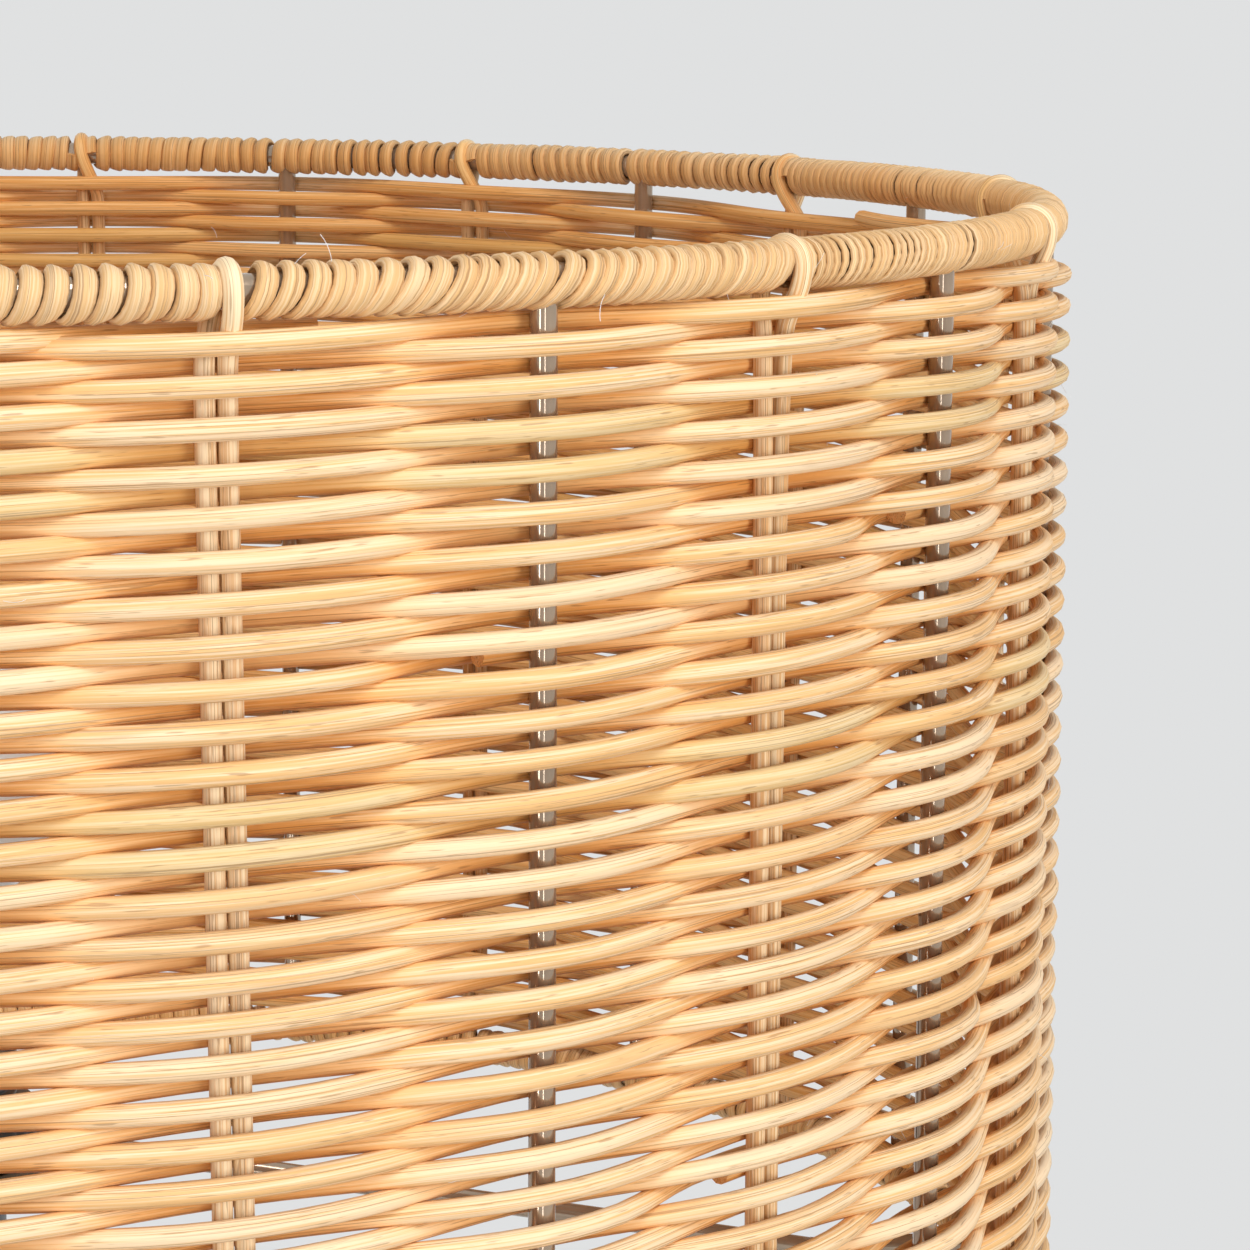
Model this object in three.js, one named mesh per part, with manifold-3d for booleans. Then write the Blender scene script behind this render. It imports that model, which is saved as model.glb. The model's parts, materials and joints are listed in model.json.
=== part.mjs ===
// Floor lamp: a woven rattan drum shade on a slim steel stand with a round base.
// Lengths are in millimetres, +Z is up, and the lamp stands on Z zero with its axis on Z.
import * as THREE from 'three';
import { mergeVertices } from 'three/addons/utils/BufferGeometryUtils.js';
import Module from 'manifold-3d';

const wasm = await Module();
wasm.setup();

// Overall size and the gap that touching pieces keep
const lampHeight = 1500;
const seatGap = 0.3;
const overrun = 1;

// Shade frame: two rings, steel uprights between them, and the rattan
const ringRadius = 210;
const ringWire = 5;
const uprightWire = 4;
const caneDiameter = 3;
const wrapThickness = 1.2;
const stakeCount = 28;

// Weave: two strands chase each other up the shade and swap sides at each stake
const weavePitch = 2.94;
const turnsPerStrand = 33;
const lengthsPerStrand = 4;
const strandCount = 2;
const rimClearance = 0.8;
const cutEndGap = 1.2;

// Fitter: a flat ring on four welded wire arms
const armCount = 4;
const armWire = 4;
const fitterRise = 25;
const fitterHole = 42;
const fitterRim = 9;
const fitterThickness = 3;
const armRootBite = 2;
const armLevelRun = 12;
const armEndRun = 30;

// Lampholder
const holderBodyRadius = 18;
const holderFootRadius = 15;
const holderFootRise = 8;
const holderBodyHeight = 30;
const holderFlangeRadius = 25.5;
const holderFlangeThickness = 3;
const holderSkirtHeight = 24;
const holderSkirtPlay = 0.5;
const holderFloorHeight = 26;
const holderEntryDepth = 14;
const collarWall = 4.6;
const collarHeight = 9;
const collarBevel = 1.5;
const contactRadius = 5;
const contactHeight = 2;

// Bulb
const bulbCapRadius = 13;
const bulbCapHeight = 25;
const bulbCapTaper = 5;
const bulbTipRadius = 4;
const bulbCapPlay = 0.7;
const bulbRadius = 30;
const bulbNeckRadius = 12.5;
const bulbNeckHeight = 22;
const bulbCentreHeight = 55;

// Turn switch on the side of the lampholder
const switchHeight = 19;
const switchBossRadius = 8;
const switchBossReach = 24;
const switchShaftRadius = 3;
const switchShaftPlay = 0.3;
const switchBoreStart = 7;
const switchShaftStart = 8;
const knobRadius = 7.5;
const knobCollarDepth = 3;
const knobGripDepth = 10;
const knobGripWidth = 5;

// Pole
const poleRadius = 11;
const poleWall = 1.6;
const poleSections = 3;
const poleSpigot = 24;
const jointRadius = 13;
const jointBand = 10;
const jointBevel = 1.5;
const cordBore = 3.2;
const poleCapRadius = 15;
const poleCapBand = 7;
const nippleRadius = 5;
const nippleRise = 12;

// Base
const baseRadius = 140;
const baseThickness = 16;
const baseEdgeHeight = 11;
const baseFlatRadius = 36;
const baseEdgeRound = 4;
const baseRecessRadius = 30;
const baseRecessDepth = 8;
const padThickness = 2;
const padInset = 8;
const footRadius = 32;
const footThickness = 5;
const footBevel = 2;
const footSpigot = 40;
const studRadius = 6;
const studRise = 1;
const nutRadius = 11;
const nutThickness = 6;
const nutSides = 6;
const glandRadius = 3.5;
const glandLength = 12;
const glandFlange = 5;
const glandFlangeThickness = 2;
const glandBore = 2.6;

// Counts of facets
const ringSides = 6;
const wrapSides = 6;
const coreSides = 5;
const uprightSides = 8;
const stakeSides = 5;
const foldSteps = 5;
const armSides = 6;
const tubeSides = 16;
const holderSides = 20;
const baseSides = 32;
const shaftSides = 12;
const domeSteps = 4;

// Shares: the distance at which corners count as one, and the spare bend of a strand
const joinShare = 0.001;
const spareBendShare = 0.125;

// Sizes that follow from the ones above
const stakeStep = 2 * Math.PI / stakeCount;
const caneRadius = caneDiameter / 2;
const uprightRadius = uprightWire / 2;
const ringWireRadius = ringWire / 2;
const armRadius = armWire / 2;
const caneHeight = weavePitch - seatGap;
const rimRadius = ringWireRadius + seatGap + wrapThickness;
const foldRadius = rimRadius + seatGap + caneRadius;
const foldDepth = foldRadius * Math.SQRT2;
const foldTurn = (3 * Math.PI / 2) / foldSteps;
const foldReach = foldRadius / Math.cos(foldTurn / 2);
const legOffset = (caneDiameter + seatGap) / 2;
const climbPerStep = strandCount * weavePitch / stakeCount;
const stepsPerStrand = turnsPerStrand * stakeCount;
const topRingZ = lampHeight - foldReach - caneRadius;
const lastCourseZ = topRingZ - rimRadius - rimClearance - caneHeight / 2;
const firstCourseZ = lastCourseZ - (stepsPerStrand + 1) * climbPerStep;
const bottomRingZ = firstCourseZ - caneHeight / 2 - seatGap - rimRadius;

const fitterZ = bottomRingZ + fitterRise;
const fitterHoleRadius = fitterHole / 2;
const fitterRadius = fitterHoleRadius + fitterRim;
const holderZ = fitterZ - seatGap - holderFlangeThickness - holderBodyHeight;
const holderSkirtRadius = fitterHoleRadius - holderSkirtPlay;
const holderTopZ = fitterZ + holderSkirtHeight;
const socketRadius = bulbCapRadius + bulbCapPlay;
const socketFloorZ = holderZ + holderFloorHeight;
const bulbCapZ = socketFloorZ + contactHeight + seatGap + seatGap;
const bulbGlassZ = bulbCapZ + bulbCapHeight + seatGap;
const switchZ = holderZ + switchHeight;

const poleBore = poleRadius - poleWall;
const spigotRadius = poleBore - seatGap;
const baseBottomZ = padThickness + seatGap;
const baseTopZ = baseBottomZ + baseThickness;
const recessTopZ = baseBottomZ + baseRecessDepth;
const footZ = baseTopZ + seatGap;
const poleBottomZ = footZ + footThickness + seatGap;
const poleTopZ = holderZ - seatGap - poleCapBand - seatGap;
const jointPitch = jointBand + 2 * seatGap;
const sectionLength = (poleTopZ - poleBottomZ - (poleSections - 1) * jointPitch) / poleSections;

const materials = {
  rattan: new THREE.MeshStandardMaterial({ color: 0xc8955a, roughness: 0.6 }),
  wrap: new THREE.MeshStandardMaterial({ color: 0xbfa076, roughness: 0.55 }),
  steel: new THREE.MeshStandardMaterial({ color: 0x7d7369, roughness: 0.4, metalness: 0.6 }),
  stand: new THREE.MeshStandardMaterial({ color: 0x5d554d, roughness: 0.45, metalness: 0.6 }),
  moulding: new THREE.MeshStandardMaterial({ color: 0x2a2826, roughness: 0.5 }),
  felt: new THREE.MeshStandardMaterial({ color: 0x3a3734, roughness: 0.95 }),
  brass: new THREE.MeshStandardMaterial({ color: 0xb08d4a, roughness: 0.35, metalness: 1 }),
  screwCap: new THREE.MeshStandardMaterial({ color: 0xb9bbbd, roughness: 0.35, metalness: 1 }),
  glass: new THREE.MeshStandardMaterial({ color: 0xf4f1e8, roughness: 0.35 }),
};

// Joins equal corners and turns the faces outward.
function closed(geometry) {
  const bare = new THREE.BufferGeometry();
  bare.setAttribute('position', geometry.getAttribute('position').clone());
  if (geometry.index) bare.setIndex(geometry.index.clone());
  const solid = mergeVertices(bare, seatGap * joinShare);
  const kept = [];
  const corners = solid.index.array;
  for (let i = 0; i < corners.length; i += 3) {
    const [a, b, c] = [corners[i], corners[i + 1], corners[i + 2]];
    if (a !== b && b !== c && c !== a) kept.push(a, b, c);
  }
  if (signedVolume(solid, kept) < 0) kept.reverse();
  solid.setIndex(kept);
  return solid;
}

function signedVolume(geometry, corners) {
  const at = geometry.getAttribute('position');
  const [a, b, c] = [new THREE.Vector3(), new THREE.Vector3(), new THREE.Vector3()];
  let total = 0;
  for (let i = 0; i < corners.length; i += 3) {
    a.fromBufferAttribute(at, corners[i]);
    b.fromBufferAttribute(at, corners[i + 1]);
    c.fromBufferAttribute(at, corners[i + 2]);
    total += a.dot(b.cross(c));
  }
  return total;
}

// A profile of [radius, height] points turned about Z, with a corner at azimuth zero.
function turned(profile, sides) {
  const points = profile.map(([r, z]) => new THREE.Vector2(r, z));
  const geometry = new THREE.LatheGeometry(points, sides);
  geometry.rotateX(Math.PI / 2);
  geometry.rotateZ(Math.PI / 2);
  return closed(geometry);
}

// A round section of [radius, height] points that closes on itself.
function ringSection(radius, z, sectionRadius, sides) {
  const points = [];
  for (let i = 0; i <= sides; i += 1) {
    const turn = 2 * Math.PI * (i % sides) / sides - Math.PI / 2;
    points.push([radius + sectionRadius * Math.cos(turn), z + sectionRadius * Math.sin(turn)]);
  }
  return points;
}

function tubeProfile(inner, outer, bottom, top) {
  return [[inner, bottom], [outer, bottom], [outer, top], [inner, top], [inner, bottom]];
}

function solidProfile(radius, bottom, top) {
  return [[0, bottom], [radius, bottom], [radius, top], [0, top]];
}

// Rings of equally many points joined into one solid, with flat ends.
function lofted(rings) {
  const around = rings[0].length;
  const index = [];
  for (let i = 0; i + 1 < rings.length; i += 1) {
    for (let j = 0; j < around; j += 1) {
      const a = i * around + j;
      const b = i * around + (j + 1) % around;
      index.push(a, b, b + around, a, b + around, a + around);
    }
  }
  const last = (rings.length - 1) * around;
  for (let j = 1; j + 1 < around; j += 1) {
    index.push(0, j + 1, j, last, last + j, last + j + 1);
  }
  const geometry = new THREE.BufferGeometry();
  geometry.setFromPoints(rings.flat());
  geometry.setIndex(index);
  return closed(geometry);
}

// A round tube along a path of straight runs, mitred at each corner.
// The side vector lies across the path.
function pathTube(path, side, radius, sides) {
  const rings = path.map((point, i) => {
    const before = path[Math.max(i - 1, 0)];
    const after = path[Math.min(i + 1, path.length - 1)];
    const into = point.clone().sub(before);
    const out = after.clone().sub(point);
    if (i === 0) into.copy(out);
    if (i === path.length - 1) out.copy(into);
    into.normalize();
    out.normalize();
    const along = into.clone().add(out).normalize();
    const mitre = 1 / along.dot(into);
    const across = side.clone().addScaledVector(along, -side.dot(along)).normalize();
    const third = along.clone().cross(across);
    return sectionRing(point, across, third, radius, radius * mitre, sides);
  });
  return lofted(rings);
}

function sectionRing(centre, across, third, acrossRadius, thirdRadius, sides) {
  const ring = [];
  for (let k = 0; k < sides; k += 1) {
    const turn = 2 * Math.PI * k / sides;
    const point = centre.clone().addScaledVector(across, acrossRadius * Math.cos(turn));
    ring.push(point.addScaledVector(third, thirdRadius * Math.sin(turn)));
  }
  return ring;
}

function polar(azimuth, radius, tangential, z) {
  const x = radius * Math.cos(azimuth) - tangential * Math.sin(azimuth);
  const y = radius * Math.sin(azimuth) + tangential * Math.cos(azimuth);
  return new THREE.Vector3(x, y, z);
}

function tangentAt(azimuth) {
  return new THREE.Vector3(-Math.sin(azimuth), Math.cos(azimuth), 0);
}

// Solid operations
function asManifold(geometry) {
  const solid = closed(geometry);
  const mesh = new wasm.Mesh({
    numProp: 3,
    vertProperties: new Float32Array(solid.getAttribute('position').array),
    triVerts: new Uint32Array(solid.index.array),
  });
  mesh.merge();
  return new wasm.Manifold(mesh);
}

function asGeometry(manifold) {
  const mesh = manifold.getMesh();
  const corners = new Float32Array(mesh.vertProperties);
  const geometry = new THREE.BufferGeometry();
  geometry.setAttribute('position', new THREE.BufferAttribute(corners, 3));
  geometry.setIndex(Array.from(mesh.triVerts));
  return geometry;
}

function cutAway(geometry, cutters) {
  let solid = asManifold(geometry);
  for (const cutter of cutters) solid = solid.subtract(asManifold(cutter));
  return asGeometry(solid);
}

function fused(geometries) {
  const [first, ...rest] = geometries.map(asManifold);
  return asGeometry(rest.reduce((sum, next) => sum.add(next), first));
}

// A square bar from one radius to another, or from one height to another, at an azimuth.
function bar(azimuth, innerRadius, outerRadius, halfWidth, bottom, top) {
  const box = new THREE.BoxGeometry(outerRadius - innerRadius, 2 * halfWidth, top - bottom);
  box.translate((outerRadius + innerRadius) / 2, 0, (top + bottom) / 2);
  box.rotateZ(azimuth);
  return box;
}

// Stakes: even places hold a folded rattan stake and odd places a steel upright
function holdsUpright(step) {
  return step % 2 !== 0;
}

// How far a strand's middle stands off a stake's middle, so that it clears the stake it bends round.
function strandOffset(stakeRadius, sideways) {
  const bay = ringRadius * stakeStep;
  const slope = Math.tan(stakeStep / 2) + 2 * (caneRadius + uprightRadius + seatGap) / bay;
  const bend = Math.atan(slope) + stakeStep * spareBendShare;
  return caneRadius + sideways * Math.tan(bend) + (stakeRadius + seatGap) / Math.cos(bend);
}

const offsetAtUpright = strandOffset(uprightRadius, 0);
const offsetAtStake = strandOffset(caneRadius, legOffset);

function runsInside(step, strand) {
  return (step + strand) % 2 !== 0;
}

// How much further off a strand passes a folded stake, whose legs spread towards the rim.
function foldSpread(z) {
  const slantedHalf = caneRadius * Math.SQRT2 - caneRadius;
  return Math.max(z + caneHeight / 2 + slantedHalf + seatGap - (topRingZ - foldDepth), 0);
}

function strandCentre(step, strand) {
  const firstStep = 1 + strand * stakeCount / strandCount;
  const z = firstCourseZ + (step - firstStep) * climbPerStep;
  const offset = holdsUpright(step) ? offsetAtUpright : offsetAtStake + foldSpread(z);
  const radius = ringRadius + (runsInside(step, strand) ? -offset : offset);
  return { radius, z };
}

// Three corners of a strand's section: an upright inner edge and an outer ridge.
function strandRing(step, strand, shift) {
  const { radius, z } = strandCentre(step, strand);
  const azimuth = step * stakeStep + shift;
  return [
    polar(azimuth, radius - caneRadius, 0, z - caneHeight / 2),
    polar(azimuth, radius + caneRadius, 0, z),
    polar(azimuth, radius - caneRadius, 0, z + caneHeight / 2),
  ];
}

// Lengths of a strand start and end on the inside of a stake.
function strandBreak(strand, index) {
  const firstStep = 1 + strand * stakeCount / strandCount;
  const step = firstStep + Math.round(index * stepsPerStrand / lengthsPerStrand);
  return runsInside(step, strand) ? step : step + 1;
}

function weaver(strand, index) {
  const start = strandBreak(strand, index);
  const end = strandBreak(strand, index + 1);
  const shift = cutEndGap / 2 / ringRadius;
  const rings = [strandRing(start, strand, shift)];
  for (let step = start + 1; step < end; step += 1) {
    rings.push(strandRing(step, strand, 0));
  }
  rings.push(strandRing(end, strand, -shift));
  return lofted(rings);
}

// Rattan stake folded in half over the top rim, with one leg outside the rim and the other inside.
function foldedStake(step) {
  const azimuth = step * stakeStep;
  const footZ = bottomRingZ + rimRadius + seatGap;
  const corners = [];
  for (let i = 0; i < foldSteps; i += 1) {
    const turn = -Math.PI / 4 + (i + 1 / 2) * foldTurn;
    corners.push([foldReach * Math.cos(turn), foldReach * Math.sin(turn)]);
  }
  const over = [[0, -foldDepth], ...corners, [0, -foldDepth]];
  const path = over.map(([out, up], i) => {
    const sideways = legOffset * (1 - 2 * i / (over.length - 1));
    return polar(azimuth, ringRadius + out, sideways, topRingZ + up);
  });
  path.unshift(polar(azimuth, ringRadius, legOffset, footZ));
  path.push(polar(azimuth, ringRadius, -legOffset, footZ));
  return pathTube(path, tangentAt(azimuth), caneRadius, stakeSides);
}

function steelUpright(step) {
  const bottom = bottomRingZ + ringWireRadius + seatGap;
  const top = topRingZ - ringWireRadius - seatGap;
  const rod = new THREE.CylinderGeometry(uprightRadius, uprightRadius, top - bottom, uprightSides);
  rod.rotateX(Math.PI / 2);
  rod.translate(ringRadius, 0, (top + bottom) / 2);
  rod.rotateZ(step * stakeStep);
  return closed(rod);
}

function shadeRing(z) {
  return turned(ringSection(ringRadius, z, ringWireRadius, ringSides), stakeCount);
}

// Section of a sleeve round a ring, open by the width of an upright.
// The slot is below where side is -1 and above where side is 1.
function sleeveSection(z, side) {
  const slot = uprightRadius + seatGap;
  const middle = side * Math.PI / 2;
  const arc = (radius, sides, reversed) => {
    const half = Math.asin(slot / radius);
    const points = [];
    for (let i = 0; i <= sides; i += 1) {
      const share = reversed ? 1 - i / sides : i / sides;
      const turn = middle + half + (2 * Math.PI - 2 * half) * share;
      points.push([ringRadius + radius * Math.cos(turn), z + radius * Math.sin(turn)]);
    }
    return points;
  };
  const outer = arc(rimRadius, wrapSides, false);
  const inner = arc(ringWireRadius + seatGap, coreSides, true);
  return [...outer, ...inner, outer[0]];
}

// Cane wrapped round a ring, open where the uprights reach the ring and at the fitter's arms.
function rimWrap(z, side, arms) {
  const sleeve = turned(sleeveSection(z, side), stakeCount);
  if (arms === 0) return sleeve;
  const armSlot = armRadius + seatGap;
  const reach = rimRadius + overrun;
  const cutters = [];
  for (let arm = 0; arm < arms; arm += 1) {
    const turn = 2 * Math.PI * arm / arms;
    cutters.push(bar(turn, ringRadius - reach, ringRadius, armSlot, z - armSlot, z + armSlot));
  }
  return cutAway(sleeve, cutters);
}

// Flat ring with wire arms that drop to the bottom ring of the shade
function fitterArm(azimuth) {
  const middle = fitterZ + fitterThickness / 2;
  const rootRadius = fitterRadius - armRootBite;
  const tipRadius = ringRadius - ringWireRadius - seatGap;
  const path = [
    polar(azimuth, rootRadius, 0, middle),
    polar(azimuth, fitterRadius + armLevelRun, 0, middle),
    polar(azimuth, tipRadius - armEndRun, 0, bottomRingZ),
    polar(azimuth, tipRadius, 0, bottomRingZ),
  ];
  return pathTube(path, tangentAt(azimuth), armRadius, armSides);
}

function shadeFitter() {
  const flat = tubeProfile(fitterHoleRadius, fitterRadius, fitterZ, fitterZ + fitterThickness);
  const pieces = [turned(flat, holderSides)];
  for (let arm = 0; arm < armCount; arm += 1) {
    pieces.push(fitterArm(2 * Math.PI * arm / armCount));
  }
  return fused(pieces);
}

// Threaded collar that clamps the fitter on the lampholder's flange
function shadeCollar() {
  const inner = holderSkirtRadius + seatGap;
  const outer = holderSkirtRadius + collarWall;
  const bottom = fitterZ + fitterThickness + seatGap;
  const top = bottom + collarHeight;
  const profile = [
    [inner, bottom],
    [outer, bottom],
    [outer, top - collarBevel],
    [outer - collarBevel, top],
    [inner, top],
    [inner, bottom],
  ];
  return turned(profile, holderSides);
}

// A solid turned about Z, laid along -Y at the height of the switch.
function laidToFront(geometry) {
  geometry.rotateX(Math.PI / 2);
  geometry.translate(0, 0, switchZ);
  return geometry;
}

function lampholderBody() {
  const flangeZ = holderZ + holderBodyHeight;
  const entry = nippleRadius + seatGap;
  const profile = [
    [entry, holderZ],
    [holderFootRadius, holderZ],
    [holderBodyRadius, holderZ + holderFootRise],
    [holderBodyRadius, flangeZ],
    [holderFlangeRadius, flangeZ],
    [holderFlangeRadius, flangeZ + holderFlangeThickness],
    [holderSkirtRadius, flangeZ + holderFlangeThickness],
    [holderSkirtRadius, holderTopZ],
    [socketRadius, holderTopZ],
    [socketRadius, socketFloorZ],
    [0, socketFloorZ],
    [0, holderZ + holderEntryDepth],
    [entry, holderZ + holderEntryDepth],
    [entry, holderZ],
  ];
  const bossStart = holderBodyRadius - switchBossRadius;
  const boss = turned(solidProfile(switchBossRadius, bossStart, switchBossReach), tubeSides);
  const boreRadius = switchShaftRadius + switchShaftPlay;
  const boreEnd = switchBossReach + overrun;
  const bore = turned(solidProfile(boreRadius, switchBoreStart, boreEnd), tubeSides);
  return cutAway(fused([turned(profile, holderSides), laidToFront(boss)]), [laidToFront(bore)]);
}

// Key-shaped turn knob on a round shaft
function switchKnob() {
  const collarStart = switchBossReach + seatGap;
  const collarEnd = collarStart + knobCollarDepth;
  const shaft = turned([
    [0, switchShaftStart],
    [switchShaftRadius, switchShaftStart],
    [switchShaftRadius, collarStart],
    [knobRadius, collarStart],
    [knobRadius, collarEnd],
    [0, collarEnd],
  ], shaftSides);
  const grip = new THREE.Shape();
  const half = knobGripWidth / 2;
  grip.absarc(0, knobRadius - half, half, 0, Math.PI, false);
  grip.absarc(0, half - knobRadius, half, Math.PI, 2 * Math.PI, false);
  const options = { depth: knobGripDepth + overrun, bevelEnabled: false, curveSegments: domeSteps };
  const paddle = new THREE.ExtrudeGeometry(grip, options);
  paddle.translate(0, 0, collarEnd - overrun);
  return laidToFront(closed(fused([shaft, paddle])));
}

function centreContact() {
  const bottom = socketFloorZ + seatGap;
  return turned(solidProfile(contactRadius, bottom, bottom + contactHeight), shaftSides);
}

function bulbCap() {
  const top = bulbCapZ + bulbCapHeight;
  const profile = [
    [0, bulbCapZ],
    [bulbTipRadius, bulbCapZ],
    [bulbCapRadius, bulbCapZ + bulbCapTaper],
    [bulbCapRadius, top],
    [0, top],
  ];
  return turned(profile, holderSides);
}

function bulbGlass() {
  const profile = [
    [0, bulbGlassZ],
    [bulbNeckRadius, bulbGlassZ],
    [bulbNeckRadius, bulbGlassZ + bulbNeckHeight],
  ];
  const lowest = -Math.PI / 4;
  const steps = 2 * domeSteps;
  for (let i = 0; i <= steps; i += 1) {
    const turn = lowest + (Math.PI / 2 - lowest) * i / steps;
    const radius = i === steps ? 0 : bulbRadius * Math.cos(turn);
    profile.push([radius, bulbGlassZ + bulbCentreHeight + bulbRadius * Math.sin(turn)]);
  }
  return turned(profile, holderSides);
}

// Pole: tubes joined by collars whose spigots run up and down inside them
function poleSection(index) {
  const bottom = poleBottomZ + index * (sectionLength + jointPitch);
  return turned(tubeProfile(poleBore, poleRadius, bottom, bottom + sectionLength), tubeSides);
}

function poleJoint(index) {
  const bottom = poleBottomZ + (index + 1) * sectionLength + index * jointPitch + seatGap;
  const top = bottom + jointBand;
  const profile = [
    [cordBore, bottom - poleSpigot],
    [spigotRadius, bottom - poleSpigot],
    [spigotRadius, bottom],
    [jointRadius - jointBevel, bottom],
    [jointRadius, bottom + jointBevel],
    [jointRadius, top - jointBevel],
    [jointRadius - jointBevel, top],
    [spigotRadius, top],
    [spigotRadius, top + poleSpigot],
    [cordBore, top + poleSpigot],
    [cordBore, bottom - poleSpigot],
  ];
  return turned(profile, tubeSides);
}

// Cap on the pole with a hollow threaded nipple that carries the lampholder
function poleCap() {
  const bottom = poleTopZ + seatGap;
  const top = bottom + poleCapBand;
  const profile = [
    [cordBore, bottom - poleSpigot],
    [spigotRadius, bottom - poleSpigot],
    [spigotRadius, bottom],
    [poleRadius, bottom],
    [poleCapRadius, bottom + poleCapBand / 2],
    [poleCapRadius, top],
    [nippleRadius, top],
    [nippleRadius, top + nippleRise],
    [cordBore, top + nippleRise],
    [cordBore, bottom - poleSpigot],
  ];
  return turned(profile, tubeSides);
}

// Base: a weighted disc, the foot bolted through it, and a felt pad
function baseDisc() {
  const edgeTop = baseBottomZ + baseEdgeHeight;
  const inner = studRadius + seatGap;
  const profile = [
    [inner, recessTopZ],
    [baseRecessRadius, recessTopZ],
    [baseRecessRadius, baseBottomZ],
    [baseRadius - baseEdgeRound / 2, baseBottomZ],
    [baseRadius, baseBottomZ + baseEdgeRound / 2],
    [baseRadius, edgeTop - baseEdgeRound],
    [baseRadius - baseEdgeRound / 4, edgeTop - baseEdgeRound / 4],
    [baseRadius - baseEdgeRound, edgeTop],
    [baseFlatRadius, baseTopZ],
    [inner, baseTopZ],
    [inner, recessTopZ],
  ];
  const channelZ = baseBottomZ + baseEdgeHeight / 2;
  const channelRadius = glandRadius + seatGap;
  const channelLength = baseRadius - baseRecessRadius + 2 * overrun;
  const channel = new THREE.CylinderGeometry(channelRadius, channelRadius, channelLength, shaftSides);
  channel.translate(0, (baseRadius + baseRecessRadius) / 2, channelZ);
  return cutAway(turned(profile, baseSides), [channel]);
}

function basePad() {
  const radius = baseRadius - padInset;
  return turned(solidProfile(radius, 0, padThickness), baseSides);
}

function baseFoot() {
  const flangeTop = footZ + footThickness;
  const profile = [
    [cordBore, padThickness + studRise],
    [studRadius, padThickness + studRise],
    [studRadius, footZ],
    [footRadius, footZ],
    [footRadius, flangeTop - footBevel],
    [footRadius - footBevel, flangeTop],
    [spigotRadius, flangeTop],
    [spigotRadius, flangeTop + footSpigot],
    [cordBore, flangeTop + footSpigot],
    [cordBore, padThickness + studRise],
  ];
  return turned(profile, tubeSides);
}

function baseNut() {
  const top = recessTopZ - seatGap;
  const bottom = top - nutThickness;
  const hexagon = turned(solidProfile(nutRadius, bottom, top), nutSides);
  const thread = turned(solidProfile(studRadius + seatGap, bottom - overrun, top + overrun), tubeSides);
  return cutAway(hexagon, [thread]);
}

// Bushing in the back of the base
function cordGland() {
  const face = baseRadius + seatGap;
  const profile = [
    [glandBore, face - glandLength],
    [glandRadius, face - glandLength],
    [glandRadius, face],
    [glandFlange, face],
    [glandFlange, face + glandFlangeThickness],
    [glandBore, face + glandFlangeThickness],
    [glandBore, face - glandLength],
  ];
  const bushing = turned(profile, shaftSides);
  bushing.rotateX(-Math.PI / 2);
  bushing.translate(0, 0, baseBottomZ + baseEdgeHeight / 2);
  return bushing;
}

const lamp = new THREE.Group();
lamp.name = 'rattan_floor_lamp';

function place(name, geometry, material) {
  const mesh = new THREE.Mesh(geometry, material.clone());
  mesh.name = name;
  lamp.add(mesh);
}

function numbered(name, number) {
  return `${name}_${String(number).padStart(2, '0')}`;
}

function placeShade() {
  place('top_ring', shadeRing(topRingZ), materials.steel);
  place('bottom_ring', shadeRing(bottomRingZ), materials.steel);
  place('top_rim_wrap', rimWrap(topRingZ, -1, 0), materials.wrap);
  place('bottom_rim_wrap', rimWrap(bottomRingZ, 1, armCount), materials.wrap);
  for (let step = 0; step < stakeCount; step += 1) {
    const number = Math.floor(step / 2) + 1;
    if (holdsUpright(step)) place(numbered('steel_upright', number), steelUpright(step), materials.steel);
    else place(numbered('rattan_stake', number), foldedStake(step), materials.rattan);
  }
  for (let strand = 0; strand < strandCount; strand += 1) {
    const name = strand === 0 ? 'weaver_first' : 'weaver_second';
    for (let index = 0; index < lengthsPerStrand; index += 1) {
      place(numbered(name, index + 1), weaver(strand, index), materials.rattan);
    }
  }
  place('shade_fitter', shadeFitter(), materials.steel);
}

function placeLampholder() {
  place('shade_collar', shadeCollar(), materials.moulding);
  place('lampholder_body', lampholderBody(), materials.moulding);
  place('switch_knob', switchKnob(), materials.moulding);
  place('centre_contact', centreContact(), materials.brass);
  place('bulb_cap', bulbCap(), materials.screwCap);
  place('bulb_glass', bulbGlass(), materials.glass);
}

function placeStand() {
  for (let index = 0; index < poleSections; index += 1) {
    place(numbered('pole_section', index + 1), poleSection(index), materials.stand);
  }
  for (let index = 0; index + 1 < poleSections; index += 1) {
    place(numbered('pole_joint', index + 1), poleJoint(index), materials.stand);
  }
  place('pole_cap', poleCap(), materials.stand);
  place('base_foot', baseFoot(), materials.stand);
  place('base_disc', baseDisc(), materials.stand);
  place('base_nut', baseNut(), materials.steel);
  place('base_pad', basePad(), materials.felt);
  place('cord_gland', cordGland(), materials.moulding);
}

placeShade();
placeLampholder();
placeStand();

export default lamp;
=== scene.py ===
"""Looks of a rattan floor lamp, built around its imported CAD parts."""

import json
import math

import bmesh
import bpy
import numpy as np
from bpy.props import FloatProperty, FloatVectorProperty, IntProperty, PointerProperty
from mathutils import Matrix, Vector

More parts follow.
